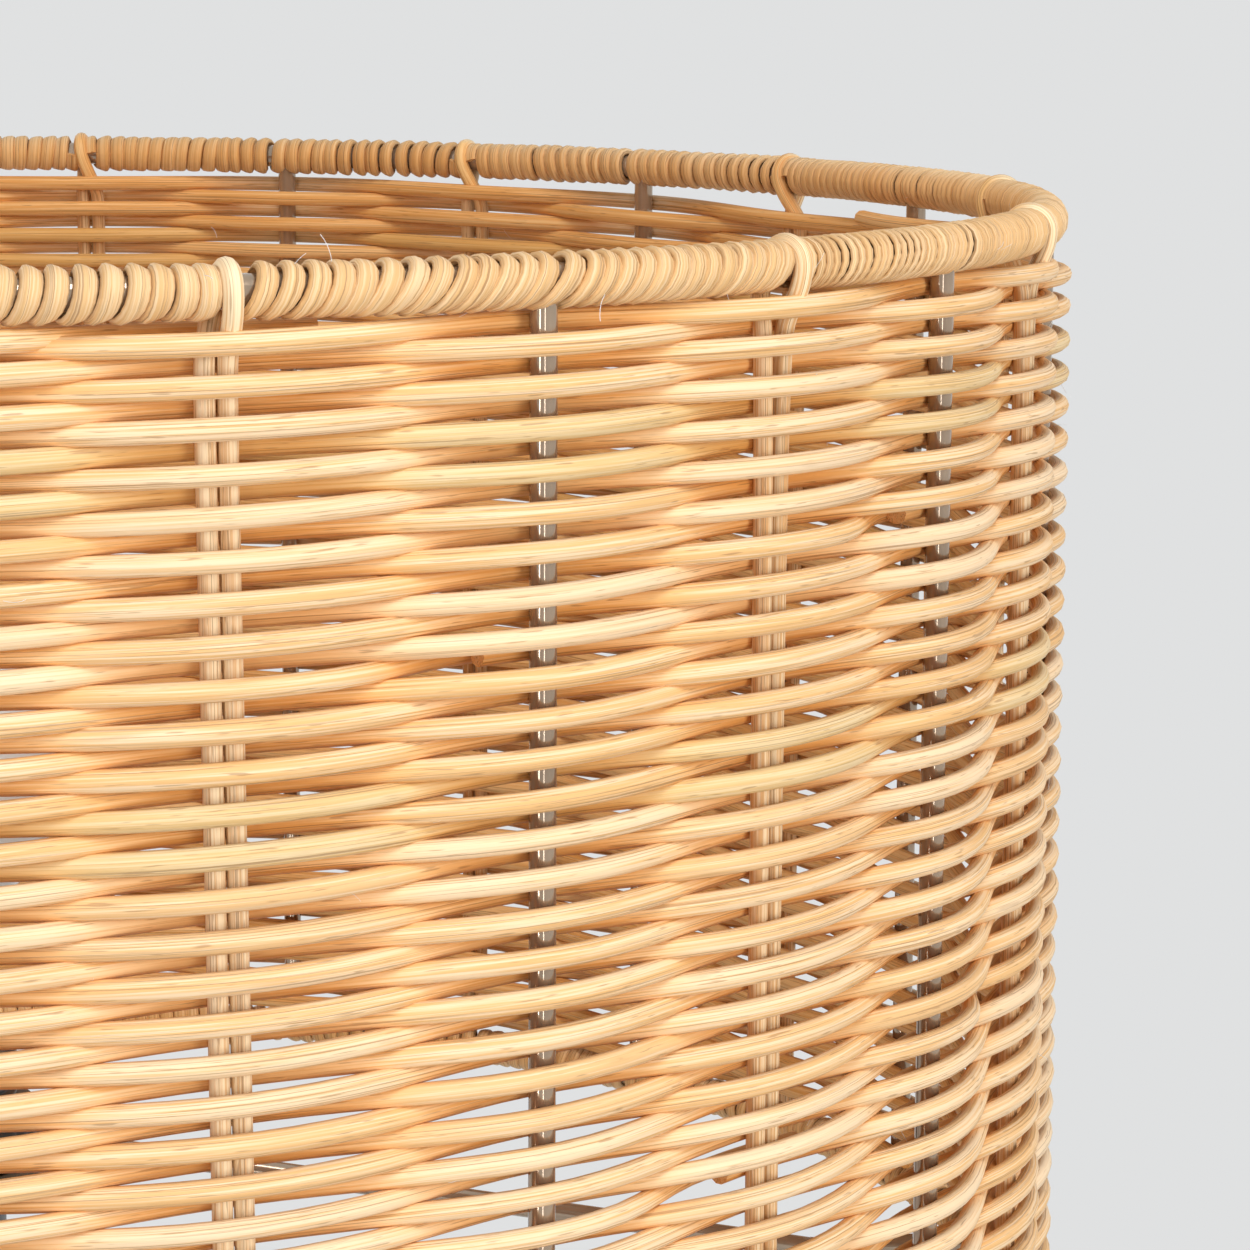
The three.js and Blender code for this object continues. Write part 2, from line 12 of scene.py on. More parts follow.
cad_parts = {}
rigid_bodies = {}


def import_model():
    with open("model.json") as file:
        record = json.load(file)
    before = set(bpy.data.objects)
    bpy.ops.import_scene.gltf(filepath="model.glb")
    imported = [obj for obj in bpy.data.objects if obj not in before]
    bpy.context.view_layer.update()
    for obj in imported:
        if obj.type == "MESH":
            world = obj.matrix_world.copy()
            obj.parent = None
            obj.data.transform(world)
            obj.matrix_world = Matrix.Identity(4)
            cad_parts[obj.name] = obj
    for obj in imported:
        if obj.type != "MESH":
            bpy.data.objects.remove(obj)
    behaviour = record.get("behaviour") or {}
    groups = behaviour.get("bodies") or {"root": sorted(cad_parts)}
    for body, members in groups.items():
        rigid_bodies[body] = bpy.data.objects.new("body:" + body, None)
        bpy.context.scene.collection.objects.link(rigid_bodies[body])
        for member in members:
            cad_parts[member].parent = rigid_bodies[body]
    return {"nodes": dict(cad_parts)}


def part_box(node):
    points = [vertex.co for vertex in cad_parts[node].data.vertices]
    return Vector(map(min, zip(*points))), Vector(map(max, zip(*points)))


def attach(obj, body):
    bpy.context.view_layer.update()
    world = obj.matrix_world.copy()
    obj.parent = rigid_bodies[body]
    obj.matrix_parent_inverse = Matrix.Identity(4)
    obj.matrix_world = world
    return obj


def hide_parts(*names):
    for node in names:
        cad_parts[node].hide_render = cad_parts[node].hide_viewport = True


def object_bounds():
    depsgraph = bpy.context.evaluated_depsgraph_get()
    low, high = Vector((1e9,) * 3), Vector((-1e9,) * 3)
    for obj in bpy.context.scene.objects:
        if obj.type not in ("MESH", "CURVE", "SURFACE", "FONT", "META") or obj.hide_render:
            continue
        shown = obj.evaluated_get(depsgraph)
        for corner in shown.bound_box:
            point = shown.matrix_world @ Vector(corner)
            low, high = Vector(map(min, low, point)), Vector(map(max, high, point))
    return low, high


bl_info = {
    "name": "Rattan Floor Lamp",
    "version": (1, 0, 0),
    "blender": (4, 5, 0),
    "location": "View3D > Sidebar > Lamp",
    "description": "Dresses the frame of a woven rattan floor lamp and sets its stage",
    "category": "Object",
}

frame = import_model()
cad_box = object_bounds()

MM = 0.001
FULL_TURN = 2 * math.pi

# Places round the shade, where a pair of rattan legs and a steel upright take turns
STAKES = 28
PAIRS = STAKES // 2
STEP = FULL_TURN / STAKES

# Each strand makes so many turns in so many lengths, and climbs evenly from stake to stake
STRANDS = 2
TURNS = 33
LENGTHS = 4
COURSE_GAP = 2.94 * MM
CLIMB = STRANDS * COURSE_GAP / STAKES


def middle(node):
    low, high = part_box(node)
    return (low + high) / 2


def ring_radius(node, wire):
    low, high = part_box(node)
    return (high.y - low.y) / 2 - wire


RING_WIRE = 2.5 * MM
UPRIGHT_RADIUS = 2.0 * MM
TOP_COURSE_DROP = 6.12 * MM
TOP_RING_Z = middle("top_ring").z
BOTTOM_RING_Z = middle("bottom_ring").z
RING_RADIUS = ring_radius("top_ring", RING_WIRE)
LAST_COURSE_Z = TOP_RING_Z - TOP_COURSE_DROP
FIRST_COURSE_Z = LAST_COURSE_Z - (TURNS * STAKES + 1) * CLIMB


# Node trees

class Value:
    """A socket that takes part in Python's arithmetic by adding Math nodes."""

    def __init__(self, graph, socket):
        self.graph = graph
        self.socket = socket

    def math(self, operation, *others):
        inputs = dict(enumerate((self, *others)))
        return self.graph.node("ShaderNodeMath", {"operation": operation}, inputs)[0]

    def __add__(self, other):
        return self.math("ADD", other)

    def __sub__(self, other):
        return self.math("SUBTRACT", other)

    def __mul__(self, other):
        return self.math("MULTIPLY", other)

    def __truediv__(self, other):
        return self.math("DIVIDE", other)

    __radd__ = __add__
    __rmul__ = __mul__

    def __rsub__(self, other):
        return self.graph.number(other).math("SUBTRACT", self)

    def __rtruediv__(self, other):
        return self.graph.number(other).math("DIVIDE", self)

    def sin(self):
        return self.math("SINE")

    def cos(self):
        return self.math("COSINE")

    def floor(self):
        return self.math("FLOOR")

    def fraction(self):
        return self.math("FRACT")

    def size(self):
        return self.math("ABSOLUTE")

    def least(self, other):
        return self.math("MINIMUM", other)

    def most(self, other):
        return self.math("MAXIMUM", other)

    def ramp(self, low, high):
        """Rises smoothly from 0 at low to 1 at high."""
        settings = {"interpolation_type": "SMOOTHSTEP"}
        return self.graph.node("ShaderNodeMapRange", settings, {0: self, 1: low, 2: high})[0]


class Made:
    """A node whose outputs are reached by name or number."""

    def __init__(self, graph, node):
        self.graph = graph
        self.node = node

    def __getitem__(self, key):
        return Value(self.graph, self.node.outputs[key])


class Graph:
    """A node tree with one method that makes and joins nodes."""

    def __init__(self, tree):
        self.tree = tree

    def node(self, kind, settings=None, inputs=None):
        made = self.tree.nodes.new(kind)
        for name, value in (settings or {}).items():
            setattr(made, name, value)
        self.fill(made.inputs, inputs or {})
        return Made(self, made)

    def fill(self, sockets, values):
        """Gives sockets their values or links."""
        for key, value in values.items():
            if isinstance(value, Value):
                self.tree.links.new(value.socket, sockets[key])
            else:
                sockets[key].default_value = value

    def number(self, value):
        made = self.node("ShaderNodeValue")
        made.node.outputs[0].default_value = value
        return made[0]

    def vector(self, x, y, z):
        return self.node("ShaderNodeCombineXYZ", None, {0: x, 1: y, 2: z})[0]

    def apart(self, vector):
        made = self.node("ShaderNodeSeparateXYZ", None, {0: vector})
        return made[0], made[1], made[2]

    def off_axis(self, vector):
        """How far a place is from the lamp's axis."""
        x, y, _ = self.apart(vector)
        return (x * x + y * y).math("SQRT")

    def noise(self, vector, scale, detail=2.0, roughness=0.5):
        inputs = {"Vector": vector, "Scale": scale, "Detail": detail, "Roughness": roughness}
        return self.node("ShaderNodeTexNoise", None, inputs)[0]

    def wander(self, along, seed, member=0.0, detail=1.0):
        """Noise from 0 to 1 that changes along a piece, and from one piece to the next."""
        return self.noise(self.vector(along, seed, member), 1.0, detail)

    def stretched(self, vector, scales):
        settings = {"operation": "MULTIPLY"}
        return self.node("ShaderNodeVectorMath", settings, {0: vector, 1: scales})[0]

    def mixed(self, first, second, share, blend="MIX"):
        """One colour laid over another by a share from 0 to 1."""
        settings = {"data_type": "RGBA", "blend_type": blend}
        inputs = {0: share, 6: rgba(first), 7: rgba(second)}
        return self.node("ShaderNodeMix", settings, inputs)[2]

    def bump(self, height, strength, distance):
        inputs = {"Strength": strength, "Distance": distance, "Height": height}
        return self.node("ShaderNodeBump", None, inputs)[0]


def rgba(colour):
    return colour if isinstance(colour, Value) else (*colour[:3], 1.0)


class Recipe(Graph):
    """A Geometry Nodes tree with named inputs, of which a seed and a material are the last."""

    kinds = {float: "NodeSocketFloat", int: "NodeSocketInt", str: "NodeSocketMaterial"}

    def __init__(self, name, inputs):
        super().__init__(bpy.data.node_groups.new(name, "GeometryNodeTree"))
        face = self.tree.interface
        for way in ("INPUT", "OUTPUT"):
            face.new_socket(name="Geometry", in_out=way, socket_type="NodeSocketGeometry")
        for label, default in {**inputs, "Seed": 1, "Material": ""}.items():
            kind = self.kinds[type(default)]
            item = face.new_socket(name=label, in_out="INPUT", socket_type=kind)
            if default != "":
                item.default_value = default
        self.entry = self.node("NodeGroupInput")

    def __getitem__(self, label):
        return self.entry[label]

    def end(self, geometry):
        """Realizes what was made, gives it the material and hands it out."""
        real = self.node("GeometryNodeRealizeInstances", None, {0: geometry})[0]
        smooth = self.node("GeometryNodeSetShadeSmooth", None, {0: real})[0]
        inputs = {"Geometry": smooth, "Material": self["Material"]}
        finished = self.node("GeometryNodeSetMaterial", None, inputs)[0]
        self.node("NodeGroupOutput", None, {0: finished})
        return self.tree

    def store(self, geometry, name, value, kind="FLOAT", domain="POINT"):
        settings = {"data_type": kind, "domain": domain}
        inputs = {"Geometry": geometry, "Name": name, "Value": value}
        return self.node("GeometryNodeStoreNamedAttribute", settings, inputs)[0]

    def named(self, name, kind="FLOAT"):
        settings = {"data_type": kind}
        return self.node("GeometryNodeInputNamedAttribute", settings, {"Name": name})[0]

    def random(self, low, high, seed, member=None):
        """A number between two others, from a seed and the element's place in the list."""
        inputs = {2: low, 3: high, "Seed": seed}
        if member is not None:
            inputs["ID"] = member
        return self.node("FunctionNodeRandomValue", {"data_type": "FLOAT"}, inputs)[1]

    def toned(self, geometry, domain="POINT", member=None):
        """Gives each piece a tone of its own from 0 to 1."""
        tone = self.random(0.0, 1.0, self["Seed"], member)
        return self.store(geometry, "tone", tone, "FLOAT", domain)

    def moved(self, geometry, place):
        inputs = {"Geometry": geometry, "Position": place}
        return self.node("GeometryNodeSetPosition", None, inputs)[0]

    def resampled(self, curve, count):
        inputs = {"Curve": curve, "Count": count}
        return self.node("GeometryNodeResampleCurve", {"mode": "COUNT"}, inputs)[0]

    def repeated(self, line, amount):
        """Copies of a line, and the number of the copy that each point is in."""
        inputs = {"Geometry": line, "Amount": amount}
        copies = self.node("GeometryNodeDuplicateElements", {"domain": "SPLINE"}, inputs)
        return copies[0], copies[1]

    def circle(self, radius, sides):
        inputs = {"Resolution": sides, "Radius": radius}
        return self.node("GeometryNodeCurvePrimitiveCircle", {"mode": "RADIUS"}, inputs)[0]

    def drawn(self, path, section, scale=1.0):
        """A solid with a section drawn along a path."""
        inputs = {"Curve": path, "Profile Curve": section, "Scale": scale, "Fill Caps": True}
        return self.node("GeometryNodeCurveToMesh", None, inputs)[0]

    def swept(self, path, section, scale=1.0):
        """Draws a section along a path, and keeps each point's place in the straightened piece."""
        place = self.node("GeometryNodeInputPosition")[0]
        marked = self.store(section, "across", place, "FLOAT_VECTOR")
        length = self.node("GeometryNodeSplineParameter")["Length"]
        measured = self.store(path, "along", length)
        mesh = self.drawn(measured, marked, scale)
        x, y, _ = self.apart(self.named("across", "FLOAT_VECTOR"))
        grain = self.vector(self.named("along"), x, y)
        return self.store(mesh, "grain", grain, "FLOAT_VECTOR")


def linked(name, data):
    piece = bpy.data.objects.new(name, data)
    bpy.context.scene.collection.objects.link(piece)
    return piece


def grown(name, tree, values, mesh=None):
    """Runs a tree and keeps its result as a plain mesh object."""
    piece = linked(name, mesh or bpy.data.meshes.new(name))
    modifier = piece.modifiers.new(tree.name, "NODES")
    modifier.node_group = tree
    for item in tree.interface.items_tree:
        if item.in_out == "INPUT" and item.name in values:
            modifier[item.identifier] = values[item.name]
    depsgraph = bpy.context.evaluated_depsgraph_get()
    result = bpy.data.meshes.new_from_object(
        piece.evaluated_get(depsgraph), preserve_all_data_layers=True, depsgraph=depsgraph
    )
    if not result.polygons:
        raise RuntimeError(f"{name} came out empty")
    piece.modifiers.remove(modifier)
    piece.data = result
    result.name = name
    return piece


def dressed(piece, body, slot, *nodes):
    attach(piece, body)
    if nodes:
        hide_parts(*nodes)
    return piece


# Recipes

def placed(recipe, geometry, azimuth, radius, height):
    place = recipe.vector(azimuth.cos() * radius, azimuth.sin() * radius, height)
    return recipe.moved(geometry, place)


def strand_recipe():
    """Canes that swing from one side of the stakes to the other as they climb the shade."""
    recipe = Recipe("Woven Strand", {
        "Ring Radius": 0.21,
        "Strand Radius": 0.0016,
        "Sides": 10,
        "Points": 520,
        "Canes": 4,
        "First Step": 1.0,
        "Steps": 232.0,
        "Start Height": 1.3,
        "Climb": 0.00021,
        "Side": 1.0,
        "Swing at Uprights": 0.0036,
        "Swing at Stakes": 0.0032,
        "Wobble": 0.0003,
        "Sway": 0.0014,
        "Top Height": 1.49,
        "Bottom Height": 1.29,
        "Rise at Top": 0.0005,
    })
    # Steps by which a cane runs past the stakes that it begins and ends at
    lead, tail = 0.2, 0.28
    # Where its end starts to tuck in and is tucked, in steps, and how deep, in its radii
    tuck_start, tuck_end, tuck_depth = -0.8, -0.25, 1.9
    # Depth below the top ring from which courses rise, and heights over the bottom ring where
    # their wave starts and is full
    rise_depth, wave_foot, wave_full = 0.06, 0.004, 0.06
    waves, wave_start = 3.0, math.radians(174.0)
    room_at_top, room_at_foot = 5.9 * MM, 5.6 * MM
    # How quickly a cane's course and thickness change from step to step, how much more it
    # wanders up and down than in and out, and how thick it is drawn, in its radii
    drift_pace, breath_pace, thick_pace = 0.45, 0.8, 0.25
    more_upward = 4.0
    thinnest, thickening = 0.82, 0.36

    line = recipe.node("GeometryNodeCurvePrimitiveLine")[0]
    lines, cane = recipe.repeated(recipe.resampled(line, recipe["Points"]), recipe["Canes"])
    half = recipe["Steps"] / recipe["Canes"] / 2.0
    begin = (cane * half + 0.5).floor() * 2.0
    end = ((cane + 1.0) * half + 0.5).floor() * 2.0
    share = recipe.node("GeometryNodeSplineParameter")["Factor"]
    walked = begin - lead + (end - begin + lead + tail) * share
    step = recipe["First Step"] + walked
    swing_sum = recipe["Swing at Uprights"] + recipe["Swing at Stakes"]
    swing_gap = recipe["Swing at Stakes"] - recipe["Swing at Uprights"]
    turn = (step * math.pi).cos()
    swing = turn * recipe["Side"] * (swing_sum + turn * swing_gap) * 0.5
    tucked = (walked - end).ramp(tuck_start, tuck_end) * recipe["Strand Radius"] * tuck_depth
    # Each seed and each cane reads its own line of the noise
    seed = recipe["Seed"] * 7.31
    drift = recipe.wander(step * drift_pace, seed, cane * 3.7, 2.0)
    breath = recipe.wander(step * breath_pace, seed + 50.0, cane * 3.7)
    thick = recipe.wander(step * thick_pace, seed + 90.0, cane * 5.1)
    radius = recipe["Ring Radius"] + swing - tucked + (breath - 0.5) * recipe["Wobble"]
    level = recipe["Start Height"] + walked * recipe["Climb"]
    near_top = (recipe["Top Height"] - level).ramp(rise_depth, 0.0)
    off_foot = (level - recipe["Bottom Height"]).ramp(wave_foot, wave_full)
    wave = (step * (STEP * waves) + wave_start).cos()
    height = level + near_top * recipe["Rise at Top"] + off_foot * wave * recipe["Sway"]
    height = height + (drift - 0.5) * recipe["Wobble"] * more_upward
    height = height.least(recipe["Top Height"] - room_at_top)
    height = height.most(recipe["Bottom Height"] + room_at_foot)
    canes = recipe.toned(placed(recipe, lines, step * STEP, radius, height), "POINT", cane)
    section = recipe.circle(recipe["Strand Radius"], recipe["Sides"])
    return recipe.end(recipe.swept(canes, section, thick * thickening + thinnest))


def stake_recipe():
    """Draws a round rod along each of the given paths."""
    recipe = Recipe("Rods Along Paths", {"Radius": 0.0015, "Sides": 12})
    paths = recipe.node("GeometryNodeMeshToCurve", None, {0: recipe["Geometry"]})[0]
    paths = recipe.toned(paths, "CURVE", recipe.node("GeometryNodeInputIndex")[0])
    return recipe.end(recipe.swept(paths, recipe.circle(recipe["Radius"], recipe["Sides"])))


def fibre_recipe():
    """Stray fibres that stand up here and there from the surface they are given."""
    recipe = Recipe("Stray Fibres", {
        "Density": 300.0,
        "Length": 0.004,
        "Radius": 0.00006,
        "Curl": 0.35,
        "Reach": 0.22,
        "Top": 1.5,
    })
    fibre_points, fibre_sides = 6, 3
    shortest, longest = 0.35, 1.3
    widest_lean = 1.45
    # Size of the clumps as noise, and how many times the density they and the rest have
    clump_scale, clump_from, clump_to = 45.0, 0.5, 0.7
    in_clump, elsewhere = 3.0, 0.2

    place = recipe.node("GeometryNodeInputPosition")[0]
    clumps = recipe.noise(place, clump_scale, 3.0).ramp(clump_from, clump_to)
    clumps = clumps * in_clump + elsewhere
    inputs = {
        "Mesh": recipe["Geometry"],
        "Density": recipe["Density"] * clumps,
        "Seed": recipe["Seed"],
    }
    settings = {"distribute_method": "RANDOM"}
    found = recipe.node("GeometryNodeDistributePointsOnFaces", settings, inputs)
    line = recipe.node("GeometryNodeCurvePrimitiveLine", None, {"End": (0.0, 0.0, 1.0)})[0]
    line = recipe.resampled(line, fibre_points)
    _, _, up = recipe.apart(place)
    line = recipe.moved(line, recipe.vector(up * up * recipe["Curl"], 0.0, up))
    fibre = recipe.drawn(line, recipe.circle(recipe["Radius"] / recipe["Length"], fibre_sides))
    size = recipe.random(shortest, longest, recipe["Seed"] + 1.0) * recipe["Length"]
    inputs = {
        "Points": found["Points"],
        "Instance": fibre,
        "Rotation": found["Rotation"],
        "Scale": recipe.vector(size, size, size),
    }
    fibres = recipe.node("GeometryNodeInstanceOnPoints", None, inputs)[0]
    turn = recipe.vector(
        recipe.random(-widest_lean, widest_lean, recipe["Seed"] + 2.0),
        recipe.random(-widest_lean, widest_lean, recipe["Seed"] + 3.0),
        recipe.random(0.0, FULL_TURN, recipe["Seed"] + 4.0),
    )
    inputs = {"Instances": fibres, "Rotation": turn}
    fibres = recipe.node("GeometryNodeRotateInstances", None, inputs)[0]
    fibres = recipe.toned(fibres, "INSTANCE")
    fibres = recipe.node("GeometryNodeRealizeInstances", None, {0: fibres})[0]
    x, y, z = recipe.apart(place)
    away = recipe.off_axis(place)
    kept = away.least(recipe["Reach"]) / away
    place = recipe.vector(x * kept, y * kept, z.least(recipe["Top"]))
    return recipe.end(recipe.moved(fibres, place))


def copies_recipe():
    """Draws a round rod along the given path and repeats it round the lamp's axis."""
    recipe = Recipe("Rods Round the Axis", {
        "Radius": 0.002,
        "Sides": 16,
        "Copies": 14,
        "First Turn": 0.0,
    })
    path = recipe.node("GeometryNodeMeshToCurve", None, {0: recipe["Geometry"]})[0]
    rod = recipe.swept(path, recipe.circle(recipe["Radius"], recipe["Sides"]))
    inputs = {"Count": recipe["Copies"], "Offset": (0.0, 0.0, 0.0)}
    points = recipe.node("GeometryNodeMeshLine", None, inputs)[0]
    index = recipe.node("GeometryNodeInputIndex")[0]
    turn = recipe["First Turn"] + index * FULL_TURN / recipe["Copies"]
    inputs = {"Points": points, "Instance": rod, "Rotation": recipe.vector(0.0, 0.0, turn)}
    rods = recipe.node("GeometryNodeInstanceOnPoints", None, inputs)[0]
    return recipe.end(recipe.toned(rods, "INSTANCE"))


def wrap_recipe():
    """Flat cane wound round a ring in stretches that part at the folded stakes and uprights.

    The geometry it is given has one corner for each stretch, which holds that stretch's turns,
    where it begins beyond its even place, how long it is and how far its turns slant.
    """
    recipe = Recipe("Rim Wrap", {
        "Ring Radius": 0.21,
        "Height": 1.49,
        "Side": 1.0,
        "Wire Radius": 0.0025,
        "Cane Width": 0.0034,
        "Cane Thickness": 0.0015,
        "Stretches": 14,
        "Points per Turn": 14,
        "Lean": 0.001,
        "Tilt": 0.3,
        "Looseness": 0.002,
    })
    # Turns on each side of an upright that are pushed off it, how sharply, and how far
    push_turns, push_sharpness, push = 4.0, 3.0, 0.7 * MM
    # Share of a stretch by which its turns crowd towards its end
    crowding = 0.025
    # Widest that the cane is drawn, as a share of a turn's advance, and how unevenly it bulges
    widest, bulging = 1.14, 0.4 * MM
    # How quickly the turns' looseness, slope and bulge change, and which noise is a full slope
    loose_pace, slope_pace, bulge_pace = 0.42, 0.12, 1.3
    slope_from, slope_to = 0.3, 0.7
    # Where in a stretch its turns start to slant and slant fully, and how far chance changes it
    slant_from, slant_to, by_chance = -0.12, 0.3, 0.6
    # Share of its advance by which each turn leans
    leant = 0.16

    line = recipe.node("GeometryNodeCurvePrimitiveLine")[0]
    lines, number = recipe.repeated(line, recipe["Stretches"])
    lines = recipe.store(lines, "stretch", number, "FLOAT", "CURVE")
    stretch = recipe.named("stretch")
    rows = ("turns", "begin", "span", "slant")
    for name in rows:
        inputs = {"Geometry": recipe["Geometry"], "Value": recipe.named(name), "Index": stretch}
        settings = {"data_type": "FLOAT", "domain": "POINT"}
        given = recipe.node("GeometryNodeSampleIndex", settings, inputs)[0]
        lines = recipe.store(lines, "own_" + name, given, "FLOAT", "CURVE")
    turns, begin, span, slant = (recipe.named("own_" + name) for name in rows)
    lines = recipe.resampled(lines, turns * recipe["Points per Turn"])
    lines = recipe.store(lines, "own_share", recipe.node("GeometryNodeSplineParameter")["Factor"])
    share = recipe.named("own_share")
    wound = share * turns
    phase = (wound + 0.5) * FULL_TURN
    advance = span / turns
    ends_still = share * (1.0 - share) * 4.0
    crowd = ends_still * span * crowding
    off = wound - turns * 0.5
    parted = off.size().ramp(push_turns, 0.0) * (off * push_sharpness).math("TANH") * push
    # Each seed and each stretch reads its own line of the noise
    seed = recipe["Seed"] * 3.17 + stretch * 11.3
    loose = recipe.wander(wound * loose_pace, seed, 0.0, 2.0) - 0.5
    slope = recipe.wander(wound * slope_pace, seed + 70.0).ramp(slope_from, slope_to)
    bulge = recipe.wander(wound * bulge_pace, seed + 40.0) - 0.5
    leaning = slant * share.ramp(slant_from, slant_to) + slope * by_chance - by_chance / 2
    lean = phase.sin() * recipe["Lean"] * leaning + phase.cos() * advance * leant
    along = begin + wound * advance + crowd + parted
    along = along + lean + loose * recipe["Looseness"] * ends_still.math("POWER", 0.4)
    azimuth = stretch * FULL_TURN / recipe["Stretches"] + along / recipe["Ring Radius"]
    narrow = (advance * widest / recipe["Cane Width"]).least(1.0)
    off_wire = recipe["Wire Radius"] + bulge * bulging + (1.0 - narrow) * recipe["Cane Thickness"]
    outward = phase.cos() * off_wire
    upward = phase.sin() * off_wire * recipe["Side"]
    radius, height = recipe["Ring Radius"] + outward, recipe["Height"] + upward
    coil = placed(recipe, lines, azimuth, radius, height)
    tilt = recipe["Tilt"] * (slope + 0.3) / narrow
    away = (
        azimuth.cos() * phase.cos() - azimuth.sin() * tilt,
        azimuth.sin() * phase.cos() + azimuth.cos() * tilt,
        phase.sin() * recipe["Side"],
    )
    course = recipe.apart(recipe.node("GeometryNodeInputTangent")[0])
    lean_in = sum((a * c for a, c in zip(away, course)), 0.0)
    upright = [a - c * lean_in for a, c in zip(away, course)]
    inputs = {"Curve": coil, "Normal": recipe.vector(*upright)}
    coil = recipe.node("GeometryNodeSetCurveNormal", {"mode": "FREE"}, inputs)[0]
    coil = recipe.toned(coil, "POINT", stretch)
    return recipe.end(recipe.swept(coil, half_round(recipe), narrow))


def half_round(recipe):
    """Section of a cane strip: flat against the ring, and outside flat with rounded edges."""
    # Powers that flatten a circle's outside and square its edges
    flattening, squaring = 0.5, 0.7
    outline = recipe.circle(1.0, 12)
    x, y, _ = recipe.apart(recipe.node("GeometryNodeInputPosition")[0])
    rise = x.most(0.0).math("POWER", flattening) * recipe["Cane Thickness"]
    wide = y.math("SIGN") * y.size().math("POWER", squaring) * recipe["Cane Width"] * 0.5
    return recipe.moved(outline, recipe.vector(rise, wide, 0.0))


# Mesh code

# Corners closer than this are one, and edges sharper than this stay sharp
SAME_PLACE = 1e-6
SHARP_EDGE = math.radians(32)


def path_mesh(name, *paths):
    corners, edges = [], []
    for path in paths:
        edges += [(len(corners) + i, len(corners) + i + 1) for i in range(len(path) - 1)]
        corners += path
    mesh = bpy.data.meshes.new(name)
    mesh.from_pydata(corners, edges, [])
    return mesh


def through(points, steps):
    """A smooth path through points."""
    points = [Vector(p) for p in points]
    padded = [2 * points[0] - points[1], *points, 2 * points[-1] - points[-2]]
    path = []
    for a, b, c, d in zip(padded, padded[1:], padded[2:], padded[3:]):
        slope, bend, twist = c - a, 2 * a - 5 * b + 4 * c - d, 3 * b - a - 3 * c + d
        for i in range(steps):
            t = i / steps
            path.append(0.5 * (2 * b + slope * t + bend * t * t + twist * t * t * t))
    path.append(points[-1])
    return path


def softened(profile, steps=3):
    """Rounds each corner of a profile of (radius, height, rounding) points."""
    most_of_side = 0.45
    points = [Vector(p[:2]) for p in profile]
    path = []
    for i, (point, (_, _, rounding)) in enumerate(zip(points, profile)):
        if rounding == 0 or i in (0, len(points) - 1):
            path.append(point)
            continue
        back, ahead = points[i - 1] - point, points[i + 1] - point
        reach = min(rounding, back.length * most_of_side, ahead.length * most_of_side)
        start, end = point + back.normalized() * reach, point + ahead.normalized() * reach
        for k in range(steps + 1):
            t = k / steps
            path.append(start * (1 - t) ** 2 + point * 2 * t * (1 - t) + end * t * t)
    return path


def lathed(name, profile, sides, ribs=0, ribbed=(0.0, 0.0)):
    """A profile of (radius, height, rounding) points in millimetres turned about the lamp's axis.

    Ribs, where there are any, are cut between the two heights that ribbed gives.
    """
    rib_depth = 0.5
    path = softened(profile)
    closed = (path[0] - path[-1]).length < SAME_PLACE
    if closed:
        path = path[:-1]
    rows = len(path)
    corners = []
    for k in range(sides):
        turn = FULL_TURN * k / sides
        for radius, height in path:
            cut = 0.0
            if ribs and ribbed[0] < height < ribbed[1] and radius > 0:
                cut = rib_depth * max(0.0, math.cos(ribs * turn)) ** 0.5
            r = (radius - cut) * MM
            corners.append((r * math.cos(turn), r * math.sin(turn), height * MM))
    faces = []
    for k in range(sides):
        here, there = k * rows, (k + 1) % sides * rows
        for i in range(rows if closed else rows - 1):
            after = (i + 1) % rows
            faces.append((here + i, there + i, there + after, here + after))
    return solid(name, corners, faces)


def solid(name, corners, faces):
    """An object from corners and faces, merged, closed and with its faces outwards."""
    mesh = bpy.data.meshes.new(name)
    mesh.from_pydata(corners, [], faces)
    work = bmesh.new()
    work.from_mesh(mesh)
    bmesh.ops.remove_doubles(work, verts=work.verts, dist=SAME_PLACE)
    bmesh.ops.recalc_face_normals(work, faces=work.faces)
    work.to_mesh(mesh)
    work.free()
    mesh.shade_smooth()
    mesh.set_sharp_from_angle(angle=SHARP_EDGE)
    return linked(name, mesh)


def finished(name, work):
    """An object from a bmesh, which is freed."""
    mesh = bpy.data.meshes.new(name)
    work.to_mesh(mesh)
    work.free()
    return linked(name, mesh)


def joined(name, pieces):
    """Several plain mesh objects as one."""
    work = bmesh.new()
    for piece in pieces:
        work.from_mesh(piece.data)
        bpy.data.objects.remove(piece)
    return finished(name, work)


def painted(piece, material):
    piece.data.materials.clear()
    piece.data.materials.append(material)
    return piece


def turned(name, profile, sides, material, slot, node):
    """A lathed piece, painted, in the place of a CAD node."""
    piece = painted(lathed(name, profile, sides), material)
    return dressed(piece, "lamp", slot, node)


def heights(node):
    """Lowest and highest height of a CAD node in millimetres."""
    return [corner.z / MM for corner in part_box(node)]


def numbered(name, count):
    return [f"{name}_{i + 1:02d}" for i in range(count)]


# Materials

def finish(name, paint, *tones, **looks):
    """The material of that name. On its first use the paint function fills in its shader."""
    material = bpy.data.materials.get(name)
    if material is None:
        material = bpy.data.materials.new(name)
        material.use_nodes = True
        graph = Graph(material.node_tree)
        graph.tree.nodes.clear()
        shader = graph.node("ShaderNodeBsdfPrincipled")
        graph.node("ShaderNodeOutputMaterial", None, {0: shader[0]})
        graph.fill(shader.node.inputs, paint(graph, *tones, **looks))
    return material


def shaded(colour, share):
    return tuple(min(1.0, c * share) for c in colour[:3])


